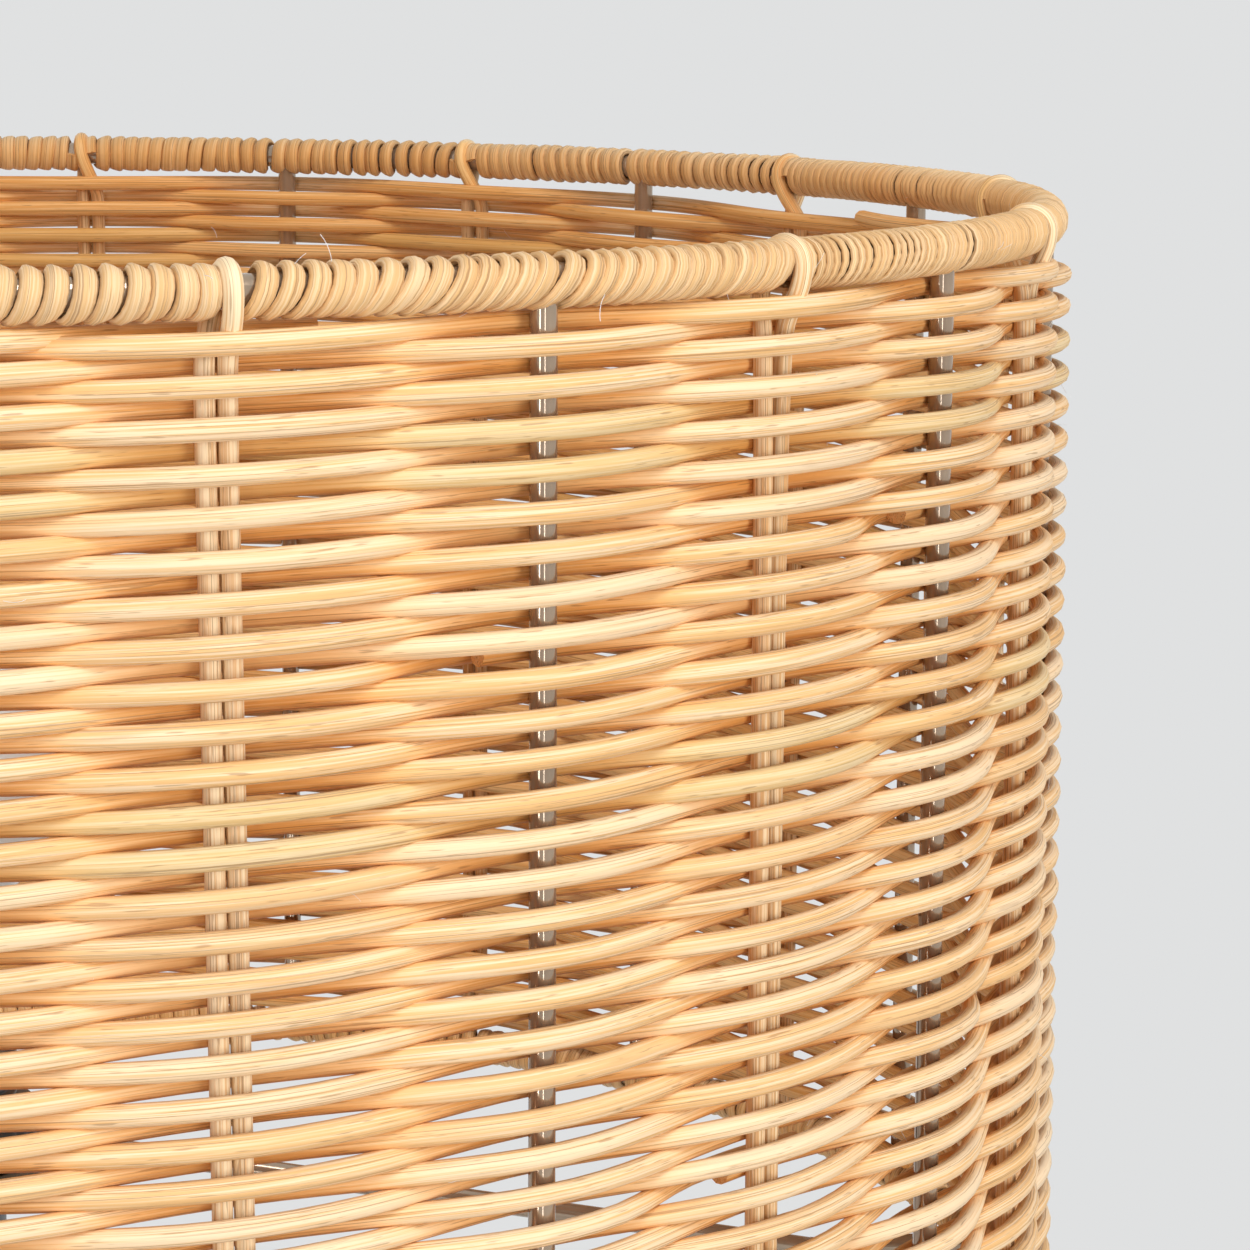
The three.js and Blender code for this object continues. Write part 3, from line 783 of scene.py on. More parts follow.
def peeled_cane(graph, pale, deep, streak=1.0, gloss=0.0, odd=1.0, inner=3.0):
    """Peeled cane: fibres that run along it, tone that differs from cane to cane, and stains.

    It is painted darker towards the inside of the shade, from so many millimetres off the ring's
    middle: painted shade on the recessed canes and on the faces that turn inwards.
    """
    colours = bpy.context.scene.lamp_colours
    # Millimetres over which the painted shade on the inside blends in
    painted_shade_blend = 4.5
    # How much the bands, the fibres and a cane's own tone deepen it, and its usual depth
    by_bands, by_fibres, by_tone, usual_depth = 1.3, 2.3, 0.6, 0.45
    # Where each odd tone or dark mark starts to show and shows fully, and how strong it is
    blushes, blush_strength = (0.6, 0.9), 0.5
    olives, olive_strength = (0.93, 0.96), 0.4
    dark_lines, line_strength = (0.57, 0.72), 0.42
    dark_flecks, fleck_strength = (0.64, 0.74), 0.6
    stains, stain_strength = (0.68, 0.82), 0.35
    usual_roughness, uneven_roughness = 0.46, 0.2

    # Each cane has its grain from a place of its own, which follows from its tone
    grain = graph.node("ShaderNodeAttribute", {"attribute_name": "grain"})[1]
    tone = graph.node("ShaderNodeAttribute", {"attribute_name": "tone"})[2]
    shift = graph.vector(tone * 37.0, tone * 3.0, tone * 5.0)
    place = graph.node("ShaderNodeVectorMath", {"operation": "ADD"}, {0: grain, 1: shift})[0]

    def grained(along, across, detail, roughness=0.5):
        """Noise with so many changes to a metre along the cane and across it."""
        scales = (along, across, across)
        return graph.noise(graph.stretched(place, scales), 1.0, detail, roughness)

    fibres = grained(35.0, 2900.0, 2.0, 0.6)
    lines = grained(16.0, 4200.0, 1.0)
    bands = grained(14.0, 420.0, 3.0)
    flecks = grained(160.0, 2600.0, 1.0)
    patches = grained(48.0, 500.0, 2.0)
    depth = (bands - 0.5) * by_bands + (fibres - 0.5) * by_fibres * streak
    depth = depth + (tone - 0.5) * by_tone + usual_depth
    colour = graph.mixed(pale, deep, depth.ramp(0.0, 1.0))
    # Two more chances from 0 to 1 that follow from a cane's tone
    blush = (tone * 13.7).fraction().ramp(*blushes)
    olive = (tone * 7.3).fraction().ramp(*olives)
    colour = graph.mixed(colour, colours.cane_blush, blush * blush_strength * odd)
    colour = graph.mixed(colour, colours.cane_olive, olive * olive_strength * odd)
    line = lines.ramp(*dark_lines) * line_strength * streak
    fleck = flecks.ramp(*dark_flecks) * fleck_strength
    patch = patches.ramp(*stains) * stain_strength
    colour = graph.mixed(colour, colours.cane_stain, line.most(fleck).most(patch))
    # Painted shade: the colour is multiplied by the inner tint towards the inside of the shade, so
    # recessed canes and inner faces come out darker
    away = graph.off_axis(graph.node("ShaderNodeTexCoord")["Object"])
    inside = away.ramp(RING_RADIUS + inner * MM, RING_RADIUS + (inner - painted_shade_blend) * MM)
    return {
        "Base Color": graph.mixed(colour, colours.cane_inner, inside, "MULTIPLY"),
        "Roughness": fibres * uneven_roughness + (usual_roughness - gloss),
        "Specular IOR Level": 0.42,
        "Normal": graph.bump(fibres + bands - line * 1.5, 0.4, 0.2 * MM),
    }


def coat(graph, colour, roughness, grain, metallic=0.0, gloss=0.0, relief=0.02, uneven=0.05):
    """Lacquer, powder coat, moulding or plate: a little uneven in tone, gloss and relief.

    Grain and relief are in millimetres.
    """
    cloud_scale, unsteady = 60.0, 0.1
    place = graph.node("ShaderNodeTexCoord")["Object"]
    cloud = graph.noise(place, cloud_scale, 3.0)
    peel = graph.noise(place, 1.0 / (grain * MM))
    tones = shaded(colour, 1.0 - uneven), shaded(colour, 1.0 + uneven)
    return {
        "Base Color": graph.mixed(*tones, cloud.ramp(0.2, 0.8)),
        "Roughness": (cloud - 0.5) * unsteady + (peel - 0.5) * unsteady + roughness,
        "Metallic": metallic,
        "Coat Weight": gloss,
        "Coat Roughness": 0.08,
        "Normal": graph.bump(peel, 0.4, relief * MM),
    }


def felt(graph, colour):
    """Pressed felt: short tangled fibres with no shine."""
    fluff_scale, lump_scale, darkest, palest = 900.0, 120.0, 0.6, 1.8
    place = graph.node("ShaderNodeTexCoord")["Object"]
    fluff = graph.noise(place, fluff_scale, 4.0, 0.7)
    lumps = graph.noise(place, lump_scale, 3.0)
    tones = shaded(colour, darkest), shaded(colour, palest)
    return {
        "Base Color": graph.mixed(*tones, fluff * 0.7 + lumps * 0.3),
        "Roughness": 0.95,
        "Specular IOR Level": 0.15,
        "Normal": graph.bump(fluff + lumps, 0.8, 0.3 * MM),
    }


def opal_glass(graph, colour):
    """Opal glass, faintly clouded under a clear gloss."""
    cloud = graph.noise(graph.node("ShaderNodeTexCoord")["Object"], 70.0)
    return {
        "Base Color": graph.mixed(shaded(colour, 0.93), colour, cloud.ramp(0.25, 0.75)),
        "Roughness": cloud * 0.08 + 0.16,
        "Coat Weight": 0.6,
        "Coat Roughness": 0.05,
    }


# Settings

def colour_property(name, description, default):
    return FloatVectorProperty(
        name=name, description=description, default=default, subtype="COLOR", min=0.0, max=1.0
    )


def length_property(name, description, default):
    return FloatProperty(
        name=name, description=description, default=default, unit="LENGTH", precision=5
    )


def power_property(name, description, default):
    return FloatProperty(name=name, description=description, default=default, unit="POWER")


class WeaveSettings(bpy.types.PropertyGroup):
    strand_radius: length_property("Strand Radius", "Half a weaving cane's thickness", 1.68 * MM)
    stake_radius: length_property("Stake Radius", "Half a rattan stake's thickness", 1.5 * MM)
    swing_at_uprights: length_property(
        "Swing at Uprights", "How far a strand stands off the middle of an upright", 3.6 * MM
    )
    swing_at_stakes: length_property(
        "Swing at Stakes", "How far a strand stands off the middle of a pair of stakes", 3.1 * MM
    )
    wobble: length_property("Wobble", "How far strands stray from their even path", 0.3 * MM)
    sway: length_property("Sway", "How far the courses wave up and down", 1.4 * MM)
    rise_at_top: length_property("Rise at Top", "How far the top courses are pushed up", 0.5 * MM)
    canes: IntProperty(
        name="Canes", description="Canes that make up a strand's length", default=4, min=1
    )
    fibres: FloatProperty(
        name="Stray Fibres", description="Stray fibres on a square metre of cane", default=500.0
    )
    seed: IntProperty(name="Seed", description="Start of the canes' random wander", default=3)


class RimSettings(bpy.types.PropertyGroup):
    cane_width: length_property("Cane Width", "Width of the flat cane round the rims", 3.4 * MM)
    cane_thickness: length_property("Cane Thickness", "Thickness of the flat cane", 1.5 * MM)
    turns: IntProperty(
        name="Turns", description="Usual turns of cane from one stake to the next", default=27
    )
    lean: length_property("Lean", "How far a turn leans along the rim", 1.0 * MM)
    tilt: FloatProperty(
        name="Tilt", description="How far each turn lies on the one before", default=0.4
    )
    looseness: length_property("Looseness", "How unevenly the turns lie", 3.4 * MM)
    seed: IntProperty(name="Seed", description="Start of the turns' random wander", default=8)


class ColourSettings(bpy.types.PropertyGroup):
    cane_pale: colour_property("Pale Cane", "Lightest tone of woven cane", (0.86, 0.64, 0.405))
    cane_deep: colour_property("Deep Cane", "Deepest tone of woven cane", (0.76, 0.45, 0.185))
    cane_blush: colour_property("Blush Cane", "Tone of the pinkish canes", (0.88, 0.69, 0.47))
    cane_olive: colour_property("Olive Cane", "Tone of the odd green cane", (0.63, 0.49, 0.22))
    cane_stain: colour_property("Cane Stain", "Flecks and dark fibres", (0.36, 0.19, 0.08))
    # Painted shade: tint multiplied into the cane towards the inside of the shade
    cane_inner: colour_property("Inner Tint", "Deepening on the inside", (1.0, 0.765, 0.48))
    stake_pale: colour_property("Pale Stake", "Lightest tone of the stakes", (0.90, 0.71, 0.45))
    stake_deep: colour_property("Deep Stake", "Deepest tone of the stakes", (0.72, 0.42, 0.18))
    wrap_pale: colour_property("Pale Wrap", "Lightest tone of the rims", (0.79, 0.56, 0.32))
    wrap_deep: colour_property("Deep Wrap", "Deepest tone of the rims", (0.69, 0.42, 0.184))
    shade_steel: colour_property("Shade Steel", "Lacquered wire", (0.40, 0.30, 0.21))
    stand: colour_property("Stand", "Powder coat of the pole and base", (0.20, 0.17, 0.145))
    moulding: colour_property("Moulding", "Lampholder and turn switch", (0.03, 0.028, 0.026))
    glass: colour_property("Bulb Glass", "Opal glass of the bulb", (0.86, 0.84, 0.79))


class StageSettings(bpy.types.PropertyGroup):
    backdrop: colour_property("Backdrop", "Colour seen behind the lamp", (0.745, 0.752, 0.755))
    floor: colour_property("Floor", "Colour of the floor round the lamp", (0.76, 0.76, 0.755))
    sky: FloatProperty(
        name="Sky", description="Strength of the light from all round", default=0.27
    )
    key: power_property("Key", "Large soft lamp on the left", 7.2)
    fill: power_property("Fill", "Narrow lamp by the camera", 3.3)
    side: power_property("Side", "Soft lamp on the right", 18.0)
    top: power_property("Top", "Soft lamp overhead", 15.0)
    back: power_property("Back", "Soft lamp behind", 17.0)


def settings_of(group):
    """A group's settings under the names of the recipe inputs that they fill."""
    labels = group.bl_rna.properties
    return {labels[key].name: getattr(group, key) for key in group.__annotations__}


def cane_material(name, kind, **looks):
    """Cane in the pale and the deep tone of its kind."""
    colours = bpy.context.scene.lamp_colours
    tones = getattr(colours, kind + "_pale"), getattr(colours, kind + "_deep")
    return finish(name, peeled_cane, *tones, **looks)


def fibre_material():
    colours = bpy.context.scene.lamp_colours
    tones = colours.cane_deep, colours.stake_deep
    return finish("stray_fibre", peeled_cane, *tones, streak=0.5, gloss=-0.2, odd=0.0)


def steel_material():
    colour = bpy.context.scene.lamp_colours.shade_steel
    looks = {"metallic": 0.6, "roughness": 0.12, "grain": 0.6, "gloss": 0.6}
    return finish("lacquered_steel", coat, colour, relief=0.001, uneven=0.16, **looks)


def plate(name, colour, roughness, grain):
    """Bare or plated metal."""
    return finish(name, coat, colour, metallic=1.0, roughness=roughness, grain=grain)


def stand_material():
    colour = bpy.context.scene.lamp_colours.stand
    return finish("powder_coat", coat, colour, metallic=0.25, roughness=0.45, grain=0.7)


def moulding_material():
    colour = bpy.context.scene.lamp_colours.moulding
    return finish("black_moulding", coat, colour, roughness=0.42, grain=0.9, gloss=0.1)


# Operators

# What is added to the weave's seed for its stakes and its stray fibres
STAKE_SEED, FIBRE_SEED = 20, 40
# Stances of the last pairs of stakes, which stand well to one side
LAST_STANCES = ((-3.6, -1.2, 0.0), (-1.9, -2.5, 0.9), (-0.8, -1.4, 1.0))


def stances(seed):
    """Shift along the rim, shift at the foot and spread of each pair of stakes, in millimetres."""
    chance = np.random.default_rng(seed + STAKE_SEED)
    found = [(*chance.uniform(-1.0, 1.0, 2), chance.uniform(0.0, 0.6)) for _ in range(PAIRS)]
    found[-len(LAST_STANCES):] = LAST_STANCES
    return found


class LAMP_OT_strands(bpy.types.Operator):
    """Weave the two strands of the shade wall"""

    bl_idname = "rattan_lamp.strands"
    bl_label = "Woven Strands"

    points_per_step = 9
    # Steps by which the second strand's last length runs on past the others
    last_run = 6

    def execute(self, context):
        weave = context.scene.lamp_weave
        tree = strand_recipe()
        for strand, kind in enumerate(("first", "second")):
            base = 1 + strand * STAKES // STRANDS
            for index in range(LENGTHS):
                first, last = self.ends(base, strand, index)
                values = {
                    **settings_of(weave),
                    "Ring Radius": RING_RADIUS,
                    "Sides": 10,
                    "Points": (last - first) * self.points_per_step // weave.canes,
                    "First Step": float(first),
                    "Steps": float(last - first),
                    "Start Height": FIRST_COURSE_Z + (first - base) * CLIMB,
                    "Climb": CLIMB,
                    "Side": 1.0 if strand == 0 else -1.0,
                    "Top Height": TOP_RING_Z,
                    "Bottom Height": BOTTOM_RING_Z,
                    "Seed": weave.seed + strand * LENGTHS + index,
                    "Material": cane_material("woven_cane", "cane", streak=1.6),
                }
                piece = grown(f"strand_{kind}_{index + 1:02d}", tree, values)
                dressed(piece, "lamp", "rattan", f"weaver_{kind}_{index + 1:02d}")
        return {"FINISHED"}

    def ends(self, base, strand, index):
        """First and last step of a strand's length, both on the inside of a stake."""
        found = []
        for place in (index, index + 1):
            step = base + round(place * TURNS * STAKES / LENGTHS)
            found.append(step if (step + strand) % 2 else step + 1)
        if strand and index == LENGTHS - 1:
            found[1] += self.last_run
        return found


class LAMP_OT_stakes(bpy.types.Operator):
    """Fold the rattan stakes over the top rim"""

    bl_idname = "rattan_lamp.stakes"
    bl_label = "Rattan Stakes"

    # Places of the fold: outward from the ring, along it, and up from its middle, in millimetres
    fold = (
        (0.0, 1.6, -60.0), (0.0, 1.6, -30.0), (0.0, 1.65, -16.0), (0.2, 1.7, -10.0),
        (0.9, 1.75, -7.2), (2.2, 1.8, -4.6), (3.1, 1.8, -2.2), (3.35, 1.8, 0.3),
        (2.6, 1.8, 2.2), (0.6, 1.8, 3.3), (-1.6, 1.75, 2.9), (-3.1, 1.55, 1.1),
        (-3.3, 1.1, -1.2), (-2.6, 0.1, -4.2), (-1.2, -0.9, -7.2), (-0.2, -1.45, -10.0),
        (0.0, -1.6, -16.0), (0.0, -1.6, -30.0), (0.0, -1.6, -60.0),
    )
    # How far a leg lies from the middle of its pair, and how deep below the ring it spreads
    leg_offset = 1.6
    spread_depth = 40
    foot_gap = 4.6 * MM
    # inner is where the painted shade on the inside starts, in millimetres off the ring's middle
    looks = {"streak": 1.8, "gloss": 0.08, "odd": 0.3, "inner": 1.0}

    def execute(self, context):
        weave = context.scene.lamp_weave
        paths = [self.path(place, *stance) for place, stance in enumerate(stances(weave.seed))]
        values = {
            "Radius": weave.stake_radius,
            "Sides": 12,
            "Seed": weave.seed + STAKE_SEED,
            "Material": cane_material("stake_cane", "stake", **self.looks),
        }
        piece = grown("rattan_stakes", stake_recipe(), values, path_mesh("stake_paths", *paths))
        dressed(piece, "lamp", "rattan", *numbered("rattan_stake", PAIRS))
        return {"FINISHED"}

    def path(self, place, rim_shift, foot_shift, spread):
        """The way of one stake up the shade, over the ring and down again."""
        wall = TOP_RING_Z - BOTTOM_RING_Z - self.foot_gap
        fold = []
        for out, side, up in self.fold:
            near_rim = min(1.0, max(0.0, 1 + up / self.spread_depth))
            fold.append((out, side + spread * side / self.leg_offset * near_rim, up * MM))
        (out, side, _), (back_out, back_side, _) = fold[0], fold[-1]
        halfway = -wall * 0.65
        route = [(out, side, -wall), (out, side, halfway), *fold,
                 (back_out, back_side, halfway), (back_out, back_side, -wall)]
        points = []
        for out, side, up in route:
            shift = rim_shift + (foot_shift - rim_shift) * min(1.0, -min(0.0, up) / wall)
            turn = place * 2 * STEP + (side + shift) * MM / RING_RADIUS
            radius = RING_RADIUS + out * MM
            corner = radius * math.cos(turn), radius * math.sin(turn), TOP_RING_Z + up
            points.append(Vector(corner))
        return through(points, 3)


class LAMP_OT_steel(bpy.types.Operator):
    """Make the shade's steel uprights and rings"""

    bl_idname = "rattan_lamp.steel"
    bl_label = "Shade Steel"

    upright_points = 9
    ring_sides = 14
    ring_points = 168

    def execute(self, context):
        sunk = RING_WIRE * 0.6
        low, high = BOTTOM_RING_Z + sunk, TOP_RING_Z - sunk
        last = self.upright_points - 1
        path = [Vector((RING_RADIUS, 0, low + (high - low) * i / last)) for i in range(last + 1)]
        values = {
            "Radius": UPRIGHT_RADIUS,
            "Sides": 20,
            "Copies": PAIRS,
            "First Turn": STEP,
            "Material": steel_material(),
        }
        piece = grown("steel_uprights", copies_recipe(), values, path_mesh("upright_path", path))
        dressed(piece, "lamp", "shade_steel", *numbered("steel_upright", PAIRS))
        self.ring("top_ring", TOP_RING_Z)
        self.ring("bottom_ring", BOTTOM_RING_Z)
        return {"FINISHED"}

    def ring(self, name, z):
        profile = []
        for k in range(self.ring_sides + 1):
            turn = FULL_TURN * (k % self.ring_sides) / self.ring_sides
            radius = RING_RADIUS + RING_WIRE * math.cos(turn)
            profile.append((radius / MM, (z + RING_WIRE * math.sin(turn)) / MM, 0))
        steel = steel_material()
        turned(name + "_wire", profile, self.ring_points, steel, "shade_steel", name)


class LAMP_OT_rims(bpy.types.Operator):
    """Wind flat cane round the rims"""

    bl_idname = "rattan_lamp.rims"
    bl_label = "Wrapped Rims"

    # Turns that some stretches have beyond the usual number
    crowded = {10: -4, 12: 22, 13: 19, 0: 8, 3: 4, 6: 6, 9: 3}
    # How far the turns of some stretches slant, as a share of the lean
    slanted = {10: -0.1, 11: 1.35, 12: 1.1, 13: 0.9}
    fold_place = 1.8 * MM
    fold_width = 3.8 * MM
    # inner is where the painted shade on the inside starts, in millimetres off the ring's middle
    looks = {"streak": 1.8, "odd": 0.0, "inner": -0.5}

    def execute(self, context):
        rim = context.scene.lamp_rim
        tree = wrap_recipe()
        shifts = [shift * MM for shift, _, _ in stances(context.scene.lamp_weave.seed)]
        rims = ("top", TOP_RING_Z, 1.0, shifts), ("bottom", BOTTOM_RING_Z, -1.0, None)
        for place, z, side, folds in rims:
            values = {
                **settings_of(rim),
                "Ring Radius": RING_RADIUS,
                "Height": z,
                "Side": side,
                "Wire Radius": RING_WIRE,
                "Stretches": PAIRS,
                "Points per Turn": 14,
                "Material": cane_material("wound_cane", "wrap", **self.looks),
            }
            piece = grown(f"{place}_rim_cane", tree, values, self.stretches(rim, folds))
            dressed(piece, "lamp", "cane_wrap", f"{place}_rim_wrap")
        return {"FINISHED"}

    def stretches(self, rim, folds):
        """One corner for each stretch, with its turns, its place, its length and its slant."""
        bay = FULL_TURN * RING_RADIUS / PAIRS
        free = np.random.default_rng(rim.seed).uniform(0.1, 1.2, PAIRS)
        rows = {"turns": [], "begin": [], "span": [], "slant": []}
        for i in range(PAIRS):
            turns, begin, span, slant = rim.turns, 0.0, bay, free[i]
            if folds:
                turns += self.crowded.get(i, 0)
                begin = self.fold_place + self.fold_width / 2 + folds[i]
                span = bay - self.fold_width + folds[(i + 1) % PAIRS] - folds[i]
                slant = self.slanted.get(i, free[i])
            for row, value in zip(rows.values(), (turns, begin, span, slant)):
                row.append(float(value))
        mesh = path_mesh("stretches", [(i * MM, 0.0, 0.0) for i in range(PAIRS)])
        for name, row in rows.items():
            mesh.attributes.new(name, "FLOAT", "POINT").data.foreach_set("value", row)
        return mesh


class LAMP_OT_fibres(bpy.types.Operator):
    """Raise stray fibres on the woven and the wound cane"""

    bl_idname = "rattan_lamp.fibres"
    bl_label = "Stray Fibres"

    # How many times as many fibres the rims have, and how far all stay inside the frame's box
    rim_share = 3.0
    margin = 0.1 * MM

    def execute(self, context):
        weave = context.scene.lamp_weave
        tree = fibre_recipe()
        rims = ["bottom_rim_cane", "top_rim_cane"]
        strands = [name for name in bpy.data.objects.keys() if name.startswith("strand_")]
        tufts = []
        for number, name in enumerate(sorted(strands + rims)):
            values = {
                "Density": weave.fibres * (self.rim_share if name in rims else 1.0),
                "Length": 3.2 * MM,
                "Radius": 0.04 * MM,
                "Curl": 0.35,
                "Reach": cad_box[1][1] - self.margin,
                "Top": cad_box[1][2] - self.margin,
                "Seed": weave.seed + FIBRE_SEED + number,
                "Material": fibre_material(),
            }
            tufts.append(grown(f"fibres_{number}", tree, values, bpy.data.objects[name].data))
        dressed(joined("stray_fibres", tufts), "lamp", "rattan")
        return {"FINISHED"}


class LAMP_OT_fitter(bpy.types.Operator):
    """Make the fitter that carries the shade"""

    bl_idname = "rattan_lamp.fitter"
    bl_label = "Shade Fitter"

    # The flat ring's radii and thickness, and how far its middle is below the top of the
    # fitter, in millimetres
    inner, outer, thickness, sunk = 21, 30, 3.0, 2.0

    def execute(self, context):
        _, top = heights("shade_fitter")
        mid = top - self.sunk
        low, high = mid - self.thickness / 2, mid + self.thickness / 2
        flat = [(self.inner, low, 0), (self.outer, low, 0.6), (self.outer, high, 0.6),
                (self.inner, high, 0.6), (self.inner, low, 0.6)]
        steel = steel_material()
        turned("fitter_ring", flat, 72, steel, "shade_steel", "shade_fitter")
        bottom = BOTTOM_RING_Z / MM
        bends = [(28, 0, mid), (36, 0, mid), (41, 0, mid - 0.2), (47, 0, mid - 1.2),
                 (165, 0, bottom + 2.2), (173, 0, bottom + 0.6), (180, 0, bottom),
                 (195, 0, bottom), (208.2, 0, bottom)]
        path = through([Vector(p) * MM for p in bends], 4)
        values = {
            "Radius": UPRIGHT_RADIUS,
            "Sides": 16,
            "Copies": 4,
            "Seed": 2,
            "Material": steel,
        }
        arms = grown("fitter_arms", copies_recipe(), values, path_mesh("arm_path", path))
        dressed(arms, "lamp", "shade_steel", "shade_fitter")
        return {"FINISHED"}


def laid(name, profile, sides, height, ahead=1):
    """A turned form laid level, towards the front or, with ahead at -1, towards the back."""
    form = lathed(name, profile, sides)
    turn = Matrix.Rotation(ahead * math.pi / 2, 4, "X")
    form.data.transform(Matrix.Translation((0, 0, height)) @ turn)
    return form


class LAMP_OT_lampholder(bpy.types.Operator):
    """Make the lampholder, its collar, the turn switch and the bulb"""

    bl_idname = "rattan_lamp.lampholder"
    bl_label = "Lampholder and Bulb"

    # Radii of the threaded skirt, and the rise of its thread with each turn, in millimetres
    crest, root, pitch = 20.5, 19.9, 2.4

    def execute(self, context):
        self.holder()
        self.collar()
        self.contact()
        self.knob()
        self.bulb_cap()
        self.bulb_glass()
        return {"FINISHED"}

    def holder(self):
        z, top = heights("lampholder_body")
        flange = z + 30
        skirt = [(self.crest, flange + 3, 0.3)]
        lift = flange + 4.2
        while lift < top - 3:
            skirt += [(self.crest, lift, 0.3), (self.root, lift + 0.8, 0.3),
                      (self.crest, lift + 1.6, 0.3)]
            lift += self.pitch
        profile = [(5.3, z, 0), (14.4, z, 0.8), (16.6, z + 3, 0.8), (18, z + 8, 1.5),
                   (18, flange - 1.5, 0.6), (19.5, flange, 0.3), (25.5, flange, 0.8),
                   (25.5, flange + 3, 0.8), *skirt, (self.crest, top, 0.8), (13.7, top, 0.8),
                   (13.7, z + 26, 0.5), (0, z + 26, 0)]
        body = lathed("holder_shell", profile, 72)
        boss = [(0, 10, 0), (8, 10, 0), (8, 23.9, 0.8), (3.4, 23.9, 0.3), (3.4, 12, 0), (0, 12, 0)]
        barrel = laid("switch_boss", boss, 48, middle("switch_knob").z)
        shell = painted(joined("lampholder_shell", [body, barrel]), moulding_material())
        dressed(shell, "lamp", "moulding", "lampholder_body")

    @staticmethod
    def collar():
        low, high = heights("shade_collar")
        profile = [(20.8, low, 0), (25.1, low, 0.5), (25.1, high - 1.5, 0.5), (23.6, high, 0.5),
                   (20.8, high, 0.4), (20.8, low, 0)]
        collar = lathed("threaded_collar", profile, 240, 40, (low + 0.6, high - 1.0))
        dressed(painted(collar, moulding_material()), "lamp", "moulding", "shade_collar")

    @staticmethod
    def contact():
        low, _ = heights("centre_contact")
        profile = [(0, low, 0), (4.9, low, 0.2), (4.6, low + 1.1, 0.5), (2.5, low + 1.9, 0.8),
                   (0, low + 2, 0)]
        brass = plate("plain_brass", (0.72, 0.52, 0.24), 0.3, 0.5)
        turned("contact_tongue", profile, 40, brass, "contact_brass", "centre_contact")

    @staticmethod
    def knob():
        height = middle("switch_knob").z
        profile = [(0, 8.3, 0), (2.9, 8.3, 0.3), (2.9, 24.4, 0), (7.4, 24.4, 0.5),
                   (7.4, 26.4, 0.9), (5.5, 27.3, 0.6), (0, 27.4, 0)]
        stem = laid("knob_stem", profile, 48, height)
        width, depth, length, middle_y, taper = 4.8, 11.0, 14.6, -31.7, 0.75
        work = bmesh.new()
        bmesh.ops.create_cube(work, size=1.0)
        for corner in work.verts:
            x, y, z = corner.co
            place = Vector((x * width, y * depth + middle_y, z * length)) * MM
            place.x *= taper if y < 0 else 1.0
            place.z += height
            corner.co = place
        bmesh.ops.bevel(
            work, geom=work.edges, offset=1.6 * MM, segments=5, affect="EDGES", profile=0.6
        )
        grip = finished("knob_grip", work)
        grip.data.shade_smooth()
        key = painted(joined("switch_key", [stem, grip]), moulding_material())
        dressed(key, "switch", "moulding", "switch_knob")

    @staticmethod
    def bulb_cap():
        low, high = heights("bulb_cap")
        profile = [(0, low, 0), (3.8, low + 0.1, 0.5), (4.2, low + 1.0, 0.3),
                   (9.5, low + 3.6, 0.5), (11.4, low + 4.6, 0.4)]
        threads, pitch = 6, 2.6
        for k in range(threads):
            root = low + 5.2 + k * pitch
            profile += [(11.9, root, 0.6), (13.0, root + pitch / 2, 0.9)]
        profile += [(11.9, low + 20.8, 0.5), (12.9, low + 21.6, 0.4), (12.9, high, 0.3),
                    (0, high, 0)]
        metal = plate("plain_cap", (0.74, 0.74, 0.75), 0.34, 0.6)
        turned("screw_cap", profile, 64, metal, "screw_cap", "bulb_cap")

    @staticmethod
    def bulb_glass():
        low, high = heights("bulb_glass")
        radius, points, first, swept = 30, 25, -42, 132
        profile = [(0, low, 0), (12.3, low, 0.4), (12.6, low + 6, 0), (13.2, low + 14, 0),
                   (15.4, low + 22, 0), (18.7, low + 29, 0)]
        for k in range(points):
            turn = math.radians(first + swept * k / (points - 1))
            off_axis = 29.9 * math.cos(turn) if k < points - 1 else 0
            profile.append((off_axis, high - radius + radius * math.sin(turn), 0))
        glass = finish("opal_glass", opal_glass, bpy.context.scene.lamp_colours.glass)
        turned("bulb_globe", profile, 72, glass, "bulb_glass", "bulb_glass")


# Radii of the pole's pieces in millimetres
CORD_BORE, SPIGOT, TUBE_BORE, TUBE = 3.2, 9.1, 9.4, 11
# How far a spigot reaches into its tube, in millimetres
SPIGOT_REACH = 24


